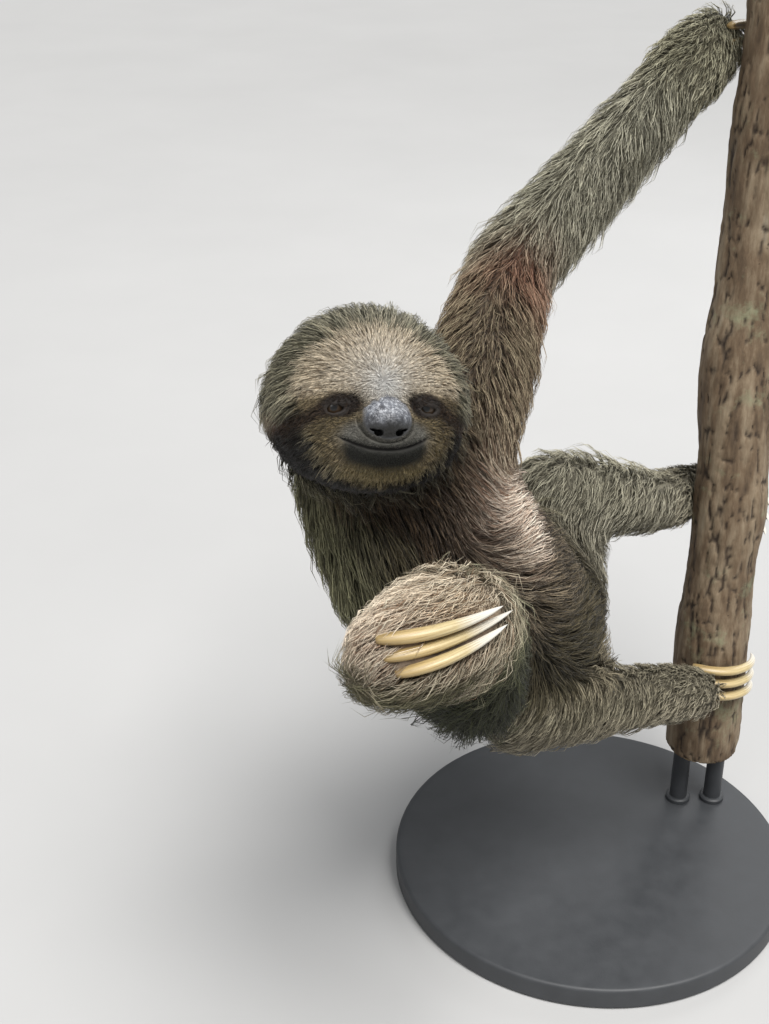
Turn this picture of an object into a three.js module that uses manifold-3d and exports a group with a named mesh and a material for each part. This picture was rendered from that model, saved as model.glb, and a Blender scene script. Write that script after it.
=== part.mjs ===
// Brown-throated three-toed sloth clinging to a cut bough, life size, on a plain display stand.
// Millimetres, +Z up. The origin is the centre of the underside of the stand's base.
// The animal faces -Y, with its own left side towards +X. Every size of the animal is taken
// to the tips of its coat.

import * as THREE from 'three';
import { mergeVertices } from 'three/addons/utils/BufferGeometryUtils.js';
import Module from 'manifold-3d';

const { Vector3 } = THREE;
const radians = THREE.MathUtils.degToRad;

// ---------------------------------------------------------------- driving dimensions

// Clearance between solids that meet on a plane, and round a neighbour that is cut out of a solid.
const GAP = 0.35;
const NEIGHBOUR_GAP = 0.42;

// A bone is its length, its turn about +Z from -Y towards +X, and its rise above level (degrees).
const bone = (length, turn, rise) => ({ length, turn, rise });

const PELVIS = new Vector3(-44, 34, 161);
const SPINE = {
  loin: bone(89, -28, 40),
  ribs: bone(88, -28, 52),
  shoulders: bone(57, -35, 57),
  nape: bone(23, -88, 63),
  neck: bone(75, -24, 51),
  tail: bone(62, 150, -38),
};
const RIGHT_ARM = {
  collar: bone(49, -70, 33),
  humerus: bone(131, 62, -57),
  radius: bone(139, -5, 46),
  hand: bone(41, -51, -2),
};
const LEFT_ARM = {
  collar: bone(37, 127, 49),
  humerus: bone(140, 166, 20),
  radius: bone(149, 122, 39),
  hand: bone(43, 134, 28),
};
const RIGHT_LEG = {
  hip: bone(36, -34, 17),
  femur: bone(75, 3, 7),
  tibia: bone(101, 123, -17),
  foot: bone(57, 124, -18),
};
const LEFT_LEG = {
  hip: bone(34, 112, 50),
  femur: bone(90, -44, 76),
  tibia: bone(98, 120, -18),
  foot: bone(46, 134, -8),
};

// The tail's thick part lies this share of the way from its tip, and its own node starts this far out.
const TAIL_ROOT_SHARE = 0.55;
const TAIL_CUT = 40;

// Half thickness of each place, coat included.
const GIRTH = {
  pelvis: 55,
  loin: 65,
  ribs: 57,
  shoulders: 52,
  nape: 44,
  neck: 40,
  tailRoot: 24,
  tailTip: 12,
};
const ARM_GIRTH = { root: 35, upper: 35, bend: 30, lower: 27.5, wrist: 25, paw: 26, tip: 23.5 };
const LEG_GIRTH = { root: 34, upper: 34, bend: 30, lower: 26.5, wrist: 22, paw: 21.5, tip: 18.5 };

// Flesh and hair hang from the middle of the upper bone of each limb by this much.
const HANG = {
  arm_right: new Vector3(-9, -3, -5),
  arm_left: new Vector3(0, 0, -4),
  leg_right: new Vector3(0, 0, -3),
  leg_left: new Vector3(0, 0, 0),
};

// The belly faces this way, across the spine.
const BELLY = new Vector3(0.43, -0.52, -0.19);

// Head, in its own axes: x to the animal's left, y up, z out of the face.
const HEAD_LIFT = 28;
const HEAD_YAW = 12;
const EYE = { radius: 6.2, spacing: 43, up: -7, forward: 28 };
const EAR = { width: 7, height: 15, length: 11, side: 45.5, up: -11, forward: 9 };
const NECK_JOIN = new Vector3(0, -13, -22.5);
const NAPE = { length: 36, taper: 4 };

// The head's eggs: centre, and half width, half height and half length. A joined egg's fillet
// is the reach of its blend with what comes before it.
const SKULL = { centre: [0, -7, -5], radii: [51, 53, 40], below: 37 };
const JAW = { centre: [0, -24, 6], radii: [36, 18, 28], fillet: 12 };
const CHIN = { centre: [0, -32, 18], radii: [25, 13, 18], fillet: 9 };
const MUZZLE = { centre: [0, -22, 27], radii: [24, 16, 20], fillet: 9 };
const NOSE = { centre: [0, -17, 41], radii: [12.5, 9.5, 10.5], fillet: 6 };
const EYE_HOLLOW = { side: 22.5, centre: [0, -7, 40.5], radii: [12, 8.5, 9], fillet: 8 };
const NAPE_FILLET = 10;

// Claws: three on each hand and foot.
const CLAWS_PER_PAW = 3;
const HAND_CLAW = { width: 5.8, height: 8.4, arc: 118 };
const FOOT_CLAW = { width: 5.4, height: 7.2, arc: 100 };
const CLAW_SIDES = 6;
const CLAW_STEPS = 6;
const CLAW_SPACING = 9.5;
const CLAW_TAPER = { power: 2.2, least: 0.18 };

// A hooked claw starts some degrees past its paw, stands off the bark, and sinks and droops to its tip.
const HOOK = { start: 3, clearance: 1.4, rootLift: 3, tipSink: 2.4, droop: 5 };

// Claws of the free hand, folded across the palm, measured from the knuckles, and their bow.
const FOLDED_CLAWS = [
  { base: new Vector3(-3, -15.5, 18), tip: new Vector3(49, 7.5, 20) },
  { base: new Vector3(0, -18.5, 11), tip: new Vector3(54, 15.5, 13) },
  { base: new Vector3(5, -19.5, 4), tip: new Vector3(51, 5.5, 12) },
];
const FOLDED_BOW = new Vector3(0, -6.5, 0.6);

// Cut bough: its axis from the lower cut face to the upper one, and its half thickness.
const BOUGH_AXIS = [
  new Vector3(82, 53, 62),
  new Vector3(82, 53, 98),
  new Vector3(81, 57, 160),
  new Vector3(86, 66, 245),
  new Vector3(83, 81, 345),
  new Vector3(89, 94, 445),
  new Vector3(93, 102, 530),
  new Vector3(91, 107, 588),
];
const BOUGH_RADIUS = { low: 24.5, high: 21.5 };
const BOUGH_SWELLINGS = [
  { size: 0.9, waves: 17 },
  { size: 0.5, waves: 41 },
];
const BOUGH_SIDES = 12;
const BOUGH_STEPS = 14;

// Stubs of two pruned twigs, each a tapering bar from the bough's axis.
const TWIG_STUBS = [
  { height: 355, turn: 82, rise: 28, length: 44, rootRadius: 10, tipRadius: 6 },
  { height: 455, turn: 27, rise: 25, length: 40, rootRadius: 9, tipRadius: 5 },
];
const TWIG_SIDES = 9;

// Display stand.
const BASE_RADIUS = 132;
const BASE_SIDES = 40;
const BASE_THICKNESS = 15;
const BASE_BEVEL = 2.5;
const ROD_RADIUS = 6;
const ROD_SPACING = 24;
const ROD_SIDES = 16;

// Facets of the round forms.
const TORSO_SIDES = 15;
const TORSO_STEPS = 3;
const LIMB_SIDES = 10;
const LIMB_STEPS = 2;
const LIMB_LIFT = new Vector3(0, 1, 0.3);
const DOME_ANGLES = [38, 68].map(radians);
const EYE_FACETS = [10, 8];
const EAR_FACETS = [8, 7];

// The head's grid: its limits, its cell on the face and elsewhere, and where the face lies.
const HEAD_GRID = { side: 62, bottom: -76, top: 62, back: -88, front: 64 };
const HEAD_CELL = { face: 4.5, back: 8 };
const FACE_ZONE = { side: 30, middle: -16, reach: 22, front: 14 };

const FINISH = {
  coat: { color: 0x6f6552, roughness: 0.95, metalness: 0 },
  face: { color: 0xa89878, roughness: 0.9, metalness: 0 },
  eye: { color: 0x1a100b, roughness: 0.15, metalness: 0 },
  claw: { color: 0xc9b184, roughness: 0.45, metalness: 0 },
  bark: { color: 0x6b5a45, roughness: 0.9, metalness: 0 },
  stand: { color: 0x3a3c3e, roughness: 0.6, metalness: 0 },
};

// ---------------------------------------------------------------- points of the skeleton

function heading({ turn, rise }) {
  const level = Math.cos(radians(rise));
  return new Vector3(
    level * Math.sin(radians(turn)),
    -level * Math.cos(radians(turn)),
    Math.sin(radians(rise)),
  );
}

function reach(start, along) {
  return start.clone().addScaledVector(heading(along), along.length);
}

const loin = reach(PELVIS, SPINE.loin);
const ribs = reach(loin, SPINE.ribs);
const shoulders = reach(ribs, SPINE.shoulders);
const nape = reach(shoulders, SPINE.nape);
const headCentre = reach(nape, SPINE.neck);
const tailTip = reach(PELVIS, SPINE.tail);

function armPoints(arm) {
  const shoulder = reach(shoulders, arm.collar);
  const elbow = reach(shoulder, arm.humerus);
  const wrist = reach(elbow, arm.radius);
  return [shoulder, elbow, wrist, reach(wrist, arm.hand)];
}

function legPoints(leg) {
  const hip = reach(PELVIS, leg.hip);
  const knee = reach(hip, leg.femur);
  const ankle = reach(knee, leg.tibia);
  return [hip, knee, ankle, reach(ankle, leg.foot)];
}

// ---------------------------------------------------------------- distance fields

// Distance to a round bar that tapers from one ball to another.
function bar(start, end, startRadius, endRadius) {
  const axis = end.clone().sub(start);
  const lengthSquared = axis.lengthSq();
  const offset = new Vector3();
  return (point) => {
    offset.subVectors(point, start);
    const share = THREE.MathUtils.clamp(offset.dot(axis) / lengthSquared, 0, 1);
    offset.addScaledVector(axis, -share);
    return offset.length() - THREE.MathUtils.lerp(startRadius, endRadius, share);
  };
}

// Distance to an egg with its axes along x, y and z, and its own half height above and below.
function egg({ centre, radii, below = radii[1] }) {
  const [x, y, z] = centre;
  const [across, above, deep] = radii;
  const least = Math.min(across, above, below, deep);
  return (point) => {
    const tall = point.y > y ? above : below;
    return (Math.hypot((point.x - x) / across, (point.y - y) / tall, (point.z - z) / deep) - 1) * least;
  };
}

function softUnion(fillet, field, added) {
  return (point) => {
    const a = field(point);
    const b = added(point);
    const overlap = Math.max(fillet - Math.abs(a - b), 0) / fillet;
    return Math.min(a, b) - (overlap * overlap * fillet) / 4;
  };
}

function softHollow(fillet, field, hollow) {
  return (point) => {
    const outer = field(point);
    const inner = -hollow(point);
    const overlap = Math.max(fillet - Math.abs(outer - inner), 0) / fillet;
    return Math.max(outer, inner) + (overlap * overlap * fillet) / 4;
  };
}

// ---------------------------------------------------------------- facets

// Grid lines from low to high, whose spacing at a place is step(place).
function ruler(low, high, step) {
  const lines = [low];
  while (lines[lines.length - 1] < high) {
    const last = lines[lines.length - 1];
    lines.push(last + step(last));
  }
  return lines;
}

// Grid lines mirrored about zero, with a cell in the middle.
function mirroredRuler(high, step) {
  const half = ruler(step(0) / 2, high, step);
  return [...half.map((line) => -line).reverse(), ...half];
}

// Moves a vertex onto the surface of the field, by steps no longer than the limit.
const SLOPE_PROBE = 0.5;
function settle(field, vertex, limit) {
  for (let pass = 0; pass < 2; pass += 1) {
    const here = field(vertex);
    const slope = new Vector3();
    for (const axis of ['x', 'y', 'z']) {
      const beside = vertex.clone();
      beside[axis] += SLOPE_PROBE;
      slope[axis] = (field(beside) - here) / SLOPE_PROBE;
    }
    const move = THREE.MathUtils.clamp(-here / slope.lengthSq(), -limit, limit);
    vertex.addScaledVector(slope, move);
  }
  return vertex;
}

// Facets the zero surface of a field: one vertex in each grid cell that the surface crosses.
function facet(field, rulers) {
  const counts = rulers.map((lines) => lines.length);
  const index = (i, j, k) => i + counts[0] * (j + counts[1] * k);
  const values = new Float64Array(counts[0] * counts[1] * counts[2]);
  const place = (i, j, k) => new Vector3(rulers[0][i], rulers[1][j], rulers[2][k]);
  const everyNode = (visit, short = 0) => {
    for (let k = 0; k < counts[2] - short; k += 1) {
      for (let j = 0; j < counts[1] - short; j += 1) {
        for (let i = 0; i < counts[0] - short; i += 1) visit(i, j, k);
      }
    }
  };
  everyNode((i, j, k) => {
    values[index(i, j, k)] = field(place(i, j, k));
  });

  const vertices = [];
  const cellVertex = new Map();
  everyNode((i, j, k) => {
    const crossing = new Vector3();
    let crossings = 0;
    for (let corner = 0; corner < 8; corner += 1) {
      for (const bit of [1, 2, 4]) {
        if (corner & bit) continue;
        const a = [i + (corner & 1), j + ((corner >> 1) & 1), k + (corner >> 2)];
        const b = [a[0] + (bit & 1), a[1] + ((bit >> 1) & 1), a[2] + (bit >> 2)];
        const valueA = values[index(...a)];
        const valueB = values[index(...b)];
        if (valueA < 0 === valueB < 0) continue;
        crossing.add(place(...a).lerp(place(...b), valueA / (valueA - valueB)));
        crossings += 1;
      }
    }
    if (crossings === 0) return;
    crossing.divideScalar(crossings);
    const cell = rulers[0][i + 1] - rulers[0][i];
    cellVertex.set(index(i, j, k), vertices.length);
    vertices.push(settle(field, crossing, cell / 2));
  }, 1);

  const triangles = [];
  const strides = [1, counts[0], counts[0] * counts[1]];
  everyNode((i, j, k) => {
    const here = index(i, j, k);
    for (let axis = 0; axis < 3; axis += 1) {
      if ([i, j, k][axis] + 1 >= counts[axis]) continue;
      const inside = values[here] < 0;
      if (inside === values[here + strides[axis]] < 0) continue;
      const b = strides[(axis + 1) % 3];
      const c = strides[(axis + 2) % 3];
      const ring = [here, here - b, here - b - c, here - c].map((cell) => cellVertex.get(cell));
      if (!inside) ring.reverse();
      const [p, q, r, s] = ring;
      const shortWay = vertices[p].distanceTo(vertices[r]) < vertices[q].distanceTo(vertices[s]);
      triangles.push(...(shortWay ? [p, q, r, p, r, s] : [q, r, s, q, s, p]));
    }
  });
  return { vertices, triangles };
}

// ---------------------------------------------------------------- solids

const wasm = await Module();
wasm.setup();

function solidOf({ vertices, triangles }) {
  const vertProperties = new Float32Array(vertices.flatMap((vertex) => vertex.toArray()));
  const triVerts = new Uint32Array(triangles);
  return new wasm.Manifold(new wasm.Mesh({ numProp: 3, vertProperties, triVerts }));
}

function geometryOf(solid) {
  const { vertProperties, triVerts } = solid.getMesh();
  const geometry = new THREE.BufferGeometry();
  geometry.setAttribute('position', new THREE.BufferAttribute(vertProperties, 3));
  geometry.setIndex(new THREE.BufferAttribute(triVerts, 1));
  geometry.computeVertexNormals();
  return geometry;
}

function solidFromGeometry(source) {
  const bare = source.clone();
  bare.deleteAttribute('normal');
  bare.deleteAttribute('uv');
  const merged = mergeVertices(bare);
  const vertProperties = new Float32Array(merged.attributes.position.array);
  const triVerts = new Uint32Array(merged.index.array);
  return new wasm.Manifold(new wasm.Mesh({ numProp: 3, vertProperties, triVerts }));
}

// The same solid with every vertex moved out along its normal.
function grown(solid, distance) {
  const geometry = geometryOf(solid);
  const { position, normal } = geometry.attributes;
  for (let i = 0; i < position.array.length; i += 1) {
    position.array[i] += normal.array[i] * distance;
  }
  return solidFromGeometry(geometry);
}

// Takes the other solids out of a solid, leaving the clearance between them.
function clearOf(solid, others) {
  return others.reduce((rest, other) => rest.subtract(grown(other, NEIGHBOUR_GAP)), solid);
}

// Parts a solid by a plane into what lies before it and what lies beyond it.
const BLOCK_SIDE = 1200;
function parted(solid, point, normal) {
  const up = new Vector3(0, 0, 1);
  const facing = new THREE.Quaternion().setFromUnitVectors(up, normal.clone().normalize());
  const halfSpace = (side) => {
    const block = new THREE.BoxGeometry(BLOCK_SIDE, BLOCK_SIDE, BLOCK_SIDE);
    block.translate(0, 0, (side * (BLOCK_SIDE + GAP)) / 2);
    block.applyQuaternion(facing);
    block.translate(point.x, point.y, point.z);
    return solidFromGeometry(block);
  };
  return [solid.intersect(halfSpace(-1)), solid.intersect(halfSpace(1))];
}

// A closed sweep through oval sections. A section's height lies towards its lift.
function sweep(sections, sides) {
  const vertices = [];
  const triangles = [];
  for (const { centre, along, lift, width, height } of sections) {
    const across = along.clone().cross(lift).normalize();
    const up = across.clone().cross(along).normalize();
    for (let side = 0; side < sides; side += 1) {
      const angle = (side / sides) * Math.PI * 2;
      const vertex = centre.clone().addScaledVector(across, (Math.cos(angle) * width) / 2);
      vertices.push(vertex.addScaledVector(up, (Math.sin(angle) * height) / 2));
    }
  }
  const lastRing = (sections.length - 1) * sides;
  for (let ring = 0; ring < lastRing; ring += sides) {
    for (let side = 0; side < sides; side += 1) {
      const a = ring + side;
      const b = ring + ((side + 1) % sides);
      triangles.push(a, a + sides, b, b, a + sides, b + sides);
    }
  }
  for (let side = 1; side < sides - 1; side += 1) {
    triangles.push(0, side, side + 1);
    triangles.push(lastRing, lastRing + side + 1, lastRing + side);
  }
  return solidOf({ vertices, triangles });
}

// Sections of a path whose size and lift are functions of the share of its length.
function sectionsOf(path, steps, sizeAt, liftAt) {
  const sections = [];
  for (let step = 0; step <= steps; step += 1) {
    const share = step / steps;
    const centre = path.getPointAt(share);
    const along = path.getTangentAt(share);
    sections.push({ centre, along, lift: liftAt(share, centre), ...sizeAt(share) });
  }
  return sections;
}

// Shrinking sections that close the end of a body with a dome.
function dome(section, direction) {
  const bulge = Math.min(section.width, section.height) / 2;
  return DOME_ANGLES.map((angle) => {
    const centre = section.centre.clone();
    centre.addScaledVector(section.along, direction * bulge * Math.sin(angle));
    const shrink = Math.cos(angle);
    return { ...section, centre, width: section.width * shrink, height: section.height * shrink };
  });
}

// A round body through places, each a centre and a half thickness.
function fleshSolid(places, stepsPerBone, sides, lift) {
  const path = new THREE.CatmullRomCurve3(places.map(({ centre }) => centre), false, 'centripetal');
  const girths = new THREE.CatmullRomCurve3(places.map(({ girth }) => new Vector3(girth, 0, 0)));
  const steps = (places.length - 1) * stepsPerBone;
  const sections = [];
  for (let step = 0; step <= steps; step += 1) {
    const share = step / steps;
    const thickness = 2 * girths.getPoint(share).x;
    const centre = path.getPoint(share);
    const along = path.getTangent(share);
    sections.push({ centre, along, lift, width: thickness, height: thickness });
  }
  const start = dome(sections[0], -1).reverse();
  const end = dome(sections[steps], 1);
  return sweep([...start, ...sections, ...end], sides);
}

// ---------------------------------------------------------------- bough

const boughPath = new THREE.CatmullRomCurve3(BOUGH_AXIS);

function boughRadius(share) {
  const taper = THREE.MathUtils.lerp(BOUGH_RADIUS.low, BOUGH_RADIUS.high, share);
  const swell = (radius, { size, waves }) => radius + size * Math.sin(share * waves);
  return BOUGH_SWELLINGS.reduce(swell, taper);
}

function makeTwigStub(stub) {
  const bar = new THREE.CylinderGeometry(stub.tipRadius, stub.rootRadius, stub.length, TWIG_SIDES);
  bar.translate(0, stub.length / 2, 0);
  bar.applyQuaternion(new THREE.Quaternion().setFromUnitVectors(new Vector3(0, 1, 0), heading(stub)));
  const { centre } = boughAt(stub.height);
  bar.translate(centre.x, centre.y, centre.z);
  return solidFromGeometry(bar);
}

function makeBough() {
  const size = (share) => ({ width: 2 * boughRadius(share), height: 2 * boughRadius(share) });
  const stem = sweep(sectionsOf(boughPath, BOUGH_STEPS, size, () => new Vector3(0, 1, 0)), BOUGH_SIDES);
  return TWIG_STUBS.reduce((bough, stub) => bough.add(makeTwigStub(stub)), stem);
}

// Point of the bough's axis at a height above the floor.
function boughAt(height) {
  let low = 0;
  let high = 1;
  for (let pass = 0; pass < 30; pass += 1) {
    const middle = (low + high) / 2;
    if (boughPath.getPointAt(middle).z < height) low = middle;
    else high = middle;
  }
  return { centre: boughPath.getPointAt(low), radius: boughRadius(low) };
}

// ---------------------------------------------------------------- claws

// A claw thins slowly to the middle and then runs out to a blunt point.
function clawSize(claw) {
  return (share) => {
    const taper = Math.max(1 - share ** CLAW_TAPER.power, CLAW_TAPER.least);
    return { width: claw.width * taper, height: claw.height * taper };
  };
}

// Claws that hook round the bough, from the angle where the paw ends.
function hookedClaws(claw, pawEnd, turn) {
  const claws = [];
  for (let digit = 0; digit < CLAWS_PER_PAW; digit += 1) {
    const height = pawEnd.z + (digit - 1) * CLAW_SPACING;
    const { centre, radius } = boughAt(height);
    const start = Math.atan2(pawEnd.y - centre.y, pawEnd.x - centre.x) + turn * radians(HOOK.start);
    const orbit = radius + claw.height / 2 + HOOK.clearance;
    const points = [];
    for (let step = 0; step <= CLAW_STEPS; step += 1) {
      const share = step / CLAW_STEPS;
      const angle = start + turn * radians(claw.arc) * share;
      const reached = orbit + HOOK.rootLift * (1 - share) - HOOK.tipSink * share ** 3;
      const point = new Vector3(centre.x, centre.y, height - HOOK.droop * share);
      points.push(point.addScaledVector(new Vector3(Math.cos(angle), Math.sin(angle), 0), reached));
    }
    const path = new THREE.CatmullRomCurve3(points);
    const away = (share, point) => new Vector3(point.x - centre.x, point.y - centre.y, 0);
    claws.push(sweep(sectionsOf(path, CLAW_STEPS, clawSize(claw), away), CLAW_SIDES));
  }
  return claws;
}

function foldedClaws(knuckles) {
  return FOLDED_CLAWS.map((ends) => {
    const base = ends.base.clone().add(knuckles);
    const tip = ends.tip.clone().add(knuckles);
    const bend = base.clone().lerp(tip, 0.5).addScaledVector(FOLDED_BOW, 2);
    const path = new THREE.QuadraticBezierCurve3(base, bend, tip);
    return sweep(sectionsOf(path, CLAW_STEPS, clawSize(HAND_CLAW), () => FOLDED_BOW), CLAW_SIDES);
  });
}

// ---------------------------------------------------------------- limbs

const round = (centre, girth) => ({ centre, girth });

// The direction in which a chain of bones passes through the middle one of three joints.
function through(before, joint, beyond) {
  const arriving = joint.clone().sub(before).normalize();
  const leaving = beyond.clone().sub(joint).normalize();
  return arriving.add(leaving);
}

// A limb's three lengths of flesh. Each ends in a dome that is cut on the plane halving the bend.
function limbParts([root, middle, end, tip], hang, girth) {
  const length = (from, to, fromGirth, swell, toGirth, droop = new Vector3()) => {
    const belly = round(from.clone().lerp(to, 0.5).add(droop), swell);
    const places = [round(from, fromGirth), belly, round(to, toGirth)];
    return fleshSolid(places, LIMB_STEPS, LIMB_SIDES, LIMB_LIFT);
  };
  const upper = length(root, middle, girth.root, girth.upper, girth.bend, hang);
  const lower = length(middle, end, girth.bend, girth.lower, girth.wrist);
  const paw = length(end, tip, girth.wrist, girth.paw, girth.tip);
  const bend = through(root, middle, end);
  const wrist = through(middle, end, tip);
  return [
    parted(upper, middle, bend)[0],
    parted(parted(lower, middle, bend)[1], end, wrist)[0],
    parted(paw, end, wrist)[1],
  ];
}

// ---------------------------------------------------------------- head

const headTurn = new THREE.Matrix4()
  .makeRotationX(radians(90 - HEAD_LIFT))
  .multiply(new THREE.Matrix4().makeRotationY(radians(HEAD_YAW)));
headTurn.setPosition(headCentre);

function headField() {
  const joined = (field, piece) => softUnion(piece.fillet, field, egg(piece));
  const face = [JAW, CHIN, MUZZLE, NOSE].reduce(joined, egg(SKULL));
  const hollowed = [-1, 1].reduce((field, side) => {
    const [, y, z] = EYE_HOLLOW.centre;
    const socket = egg({ ...EYE_HOLLOW, centre: [side * EYE_HOLLOW.side, y, z] });
    return softHollow(EYE_HOLLOW.fillet, field, socket);
  }, face);
  const napeEnd = NECK_JOIN.clone().setLength(NAPE.length);
  const nape = bar(napeEnd, new Vector3(), GIRTH.neck, GIRTH.neck - NAPE.taper);
  return softUnion(NAPE_FILLET, hollowed, nape);
}

function makeHead() {
  const { face, back } = HEAD_CELL;
  const { side, bottom, top, back: rear, front } = HEAD_GRID;
  const across = mirroredRuler(side, (x) => (x < FACE_ZONE.side ? face : back));
  const up = ruler(bottom, top, (y) => (Math.abs(y - FACE_ZONE.middle) < FACE_ZONE.reach ? face : back));
  const depth = ruler(rear, front, (z) => (z > FACE_ZONE.front ? face : back));
  return solidOf(facet(headField(), [across, up, depth])).transform(headTurn.elements);
}

// Parts a solid into what lies behind the head's joint with the neck, and what lies before it.
function headParted(solid) {
  const point = NECK_JOIN.clone().applyMatrix4(headTurn);
  return parted(solid, point, NECK_JOIN.clone().negate().transformDirection(headTurn));
}

function headBall([x, y, z], [width, height, length], [around, down]) {
  const ball = new THREE.SphereGeometry(0.5, around, down);
  ball.scale(width, height, length);
  ball.translate(x, y, z);
  ball.applyMatrix4(headTurn);
  return solidFromGeometry(ball);
}

function makeEye(side) {
  const across = 2 * EYE.radius;
  return headBall([(side * EYE.spacing) / 2, EYE.up, EYE.forward], [across, across, across], EYE_FACETS);
}

function makeEar(side) {
  return headBall([side * EAR.side, EAR.up, EAR.forward], [EAR.width, EAR.height, EAR.length], EAR_FACETS);
}

// ---------------------------------------------------------------- trunk, neck and tail

function makeTorso() {
  const places = [
    round(tailTip, GIRTH.tailTip),
    round(tailTip.clone().lerp(PELVIS, TAIL_ROOT_SHARE), GIRTH.tailRoot),
    round(PELVIS, GIRTH.pelvis),
    round(loin, GIRTH.loin),
    round(ribs, GIRTH.ribs),
    round(shoulders, GIRTH.shoulders),
    round(nape, GIRTH.nape),
    round(headCentre, GIRTH.neck),
  ];
  return fleshSolid(places, TORSO_STEPS, TORSO_SIDES, BELLY);
}

// ---------------------------------------------------------------- stand

function makeBase() {
  const outline = [
    new THREE.Vector2(0, 0),
    new THREE.Vector2(BASE_RADIUS, 0),
    new THREE.Vector2(BASE_RADIUS, BASE_THICKNESS - BASE_BEVEL),
    new THREE.Vector2(BASE_RADIUS - BASE_BEVEL, BASE_THICKNESS),
    new THREE.Vector2(0, BASE_THICKNESS),
  ];
  const plate = new THREE.LatheGeometry(outline, BASE_SIDES);
  plate.rotateX(Math.PI / 2);
  return solidFromGeometry(plate);
}

function makeRod(side) {
  const foot = BOUGH_AXIS[0];
  const height = foot.z - BASE_THICKNESS - 2 * GAP;
  const rod = new THREE.CylinderGeometry(ROD_RADIUS, ROD_RADIUS, height, ROD_SIDES);
  rod.rotateX(Math.PI / 2);
  rod.translate(foot.x + (side * ROD_SPACING) / 2, foot.y, BASE_THICKNESS + GAP + height / 2);
  return solidFromGeometry(rod);
}

// ---------------------------------------------------------------- the model

const sloth = new THREE.Group();

function addNode(name, solid, finish) {
  const mesh = new THREE.Mesh(geometryOf(solid), new THREE.MeshStandardMaterial(FINISH[finish]));
  mesh.name = name;
  sloth.add(mesh);
}

function addClaws(limb, claws) {
  const digits = ['inner', 'middle', 'outer'];
  claws.forEach((claw, digit) => addNode(`claw_${limb}_${digits[digit]}`, claw, 'claw'));
}

const bough = makeBough();
addNode('perch_branch', bough, 'bark');

const LIMBS = [
  { name: 'arm_right', points: armPoints(RIGHT_ARM), girths: ARM_GIRTH, claws: foldedClaws },
  {
    name: 'arm_left',
    points: armPoints(LEFT_ARM),
    girths: ARM_GIRTH,
    claws: (paw) => hookedClaws(HAND_CLAW, paw, -1),
  },
  {
    name: 'leg_right',
    points: legPoints(RIGHT_LEG),
    girths: LEG_GIRTH,
    claws: (paw) => hookedClaws(FOOT_CLAW, paw, 1),
  },
  {
    name: 'leg_left',
    points: legPoints(LEFT_LEG),
    girths: LEG_GIRTH,
    claws: (paw) => hookedClaws(FOOT_CLAW, paw, -1),
  },
];
const SEGMENTS = { arm: ['upper_arm', 'forearm', 'hand'], leg: ['thigh', 'shin', 'foot'] };

const limbSolids = [];
for (const { name, points, girths, claws } of LIMBS) {
  const [kind, side] = name.split('_');
  const parts = limbParts(points, HANG[name], girths).map((part) => clearOf(part, [bough, ...limbSolids]));
  parts.forEach((part, segment) => addNode(`${SEGMENTS[kind][segment]}_${side}`, part, 'coat'));
  limbSolids.push(...parts);
  const clawSolids = claws(points[3]).map((claw) => clearOf(claw, parts));
  addClaws(`${SEGMENTS[kind][2]}_${side}`, clawSolids);
}

const eyes = { left: makeEye(1), right: makeEye(-1) };
const ears = { left: makeEar(1), right: makeEar(-1) };
const headNeighbours = [...Object.values(eyes), ...Object.values(ears), ...limbSolids];
const [, head] = headParted(clearOf(makeHead(), headNeighbours));
addNode('head', head, 'face');
for (const side of ['left', 'right']) {
  addNode(`eye_${side}`, eyes[side], 'eye');
  addNode(`ear_${side}`, ears[side], 'face');
}

const [behindHead] = headParted(makeTorso());
const torso = clearOf(behindHead, [bough, ...limbSolids]);
const [body, neck] = parted(torso, nape, headCentre.clone().sub(nape));
const tailRoot = reach(PELVIS, { ...SPINE.tail, length: TAIL_CUT });
const [trunk, tail] = parted(body, tailRoot, tailTip.clone().sub(PELVIS));
addNode('neck', neck, 'coat');
addNode('trunk', trunk, 'coat');
addNode('tail', tail, 'coat');

addNode('stand_base', makeBase(), 'stand');
addNode('stand_rod_left', makeRod(1), 'stand');
addNode('stand_rod_right', makeRod(-1), 'stand');

export default sloth;
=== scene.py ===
"""A brown-throated three-toed sloth clinging to a cut bough on a plain display stand.

Metres, +Z up, in the frame of the CAD model. Sizes of the head are in millimetres in the head's own
axes: x to the animal's left, y up and z out of the face. Colours are given as sRGB, 0 to 255.
"""

import math

import bmesh
import bpy
import numpy as np
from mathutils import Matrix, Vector
from mathutils.bvhtree import BVHTree
from mathutils.kdtree import KDTree


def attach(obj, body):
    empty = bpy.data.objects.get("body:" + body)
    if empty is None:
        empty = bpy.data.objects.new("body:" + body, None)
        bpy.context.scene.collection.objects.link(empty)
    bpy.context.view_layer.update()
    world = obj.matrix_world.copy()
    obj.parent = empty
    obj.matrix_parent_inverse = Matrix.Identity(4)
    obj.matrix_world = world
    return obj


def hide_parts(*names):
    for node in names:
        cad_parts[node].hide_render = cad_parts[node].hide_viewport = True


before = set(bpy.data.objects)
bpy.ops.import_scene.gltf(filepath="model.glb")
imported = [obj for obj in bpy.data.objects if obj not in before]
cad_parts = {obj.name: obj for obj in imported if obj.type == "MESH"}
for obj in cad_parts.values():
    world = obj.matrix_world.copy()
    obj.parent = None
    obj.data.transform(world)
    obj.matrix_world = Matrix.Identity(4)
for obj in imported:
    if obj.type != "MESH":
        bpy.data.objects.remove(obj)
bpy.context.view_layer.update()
rng = np.random.default_rng(314)
MM = 0.001
UP = np.array([0.0, 0.0, 1.0])
DOWN = -UP

# ------------------------------------------------------------------ camera

CAMERA_AT = (-0.140, -0.800, 0.700)
CAMERA_PITCH = 28.0
FOCAL_PIXELS = 1500.0
FRAME_HEIGHT = 1024.0


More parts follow.
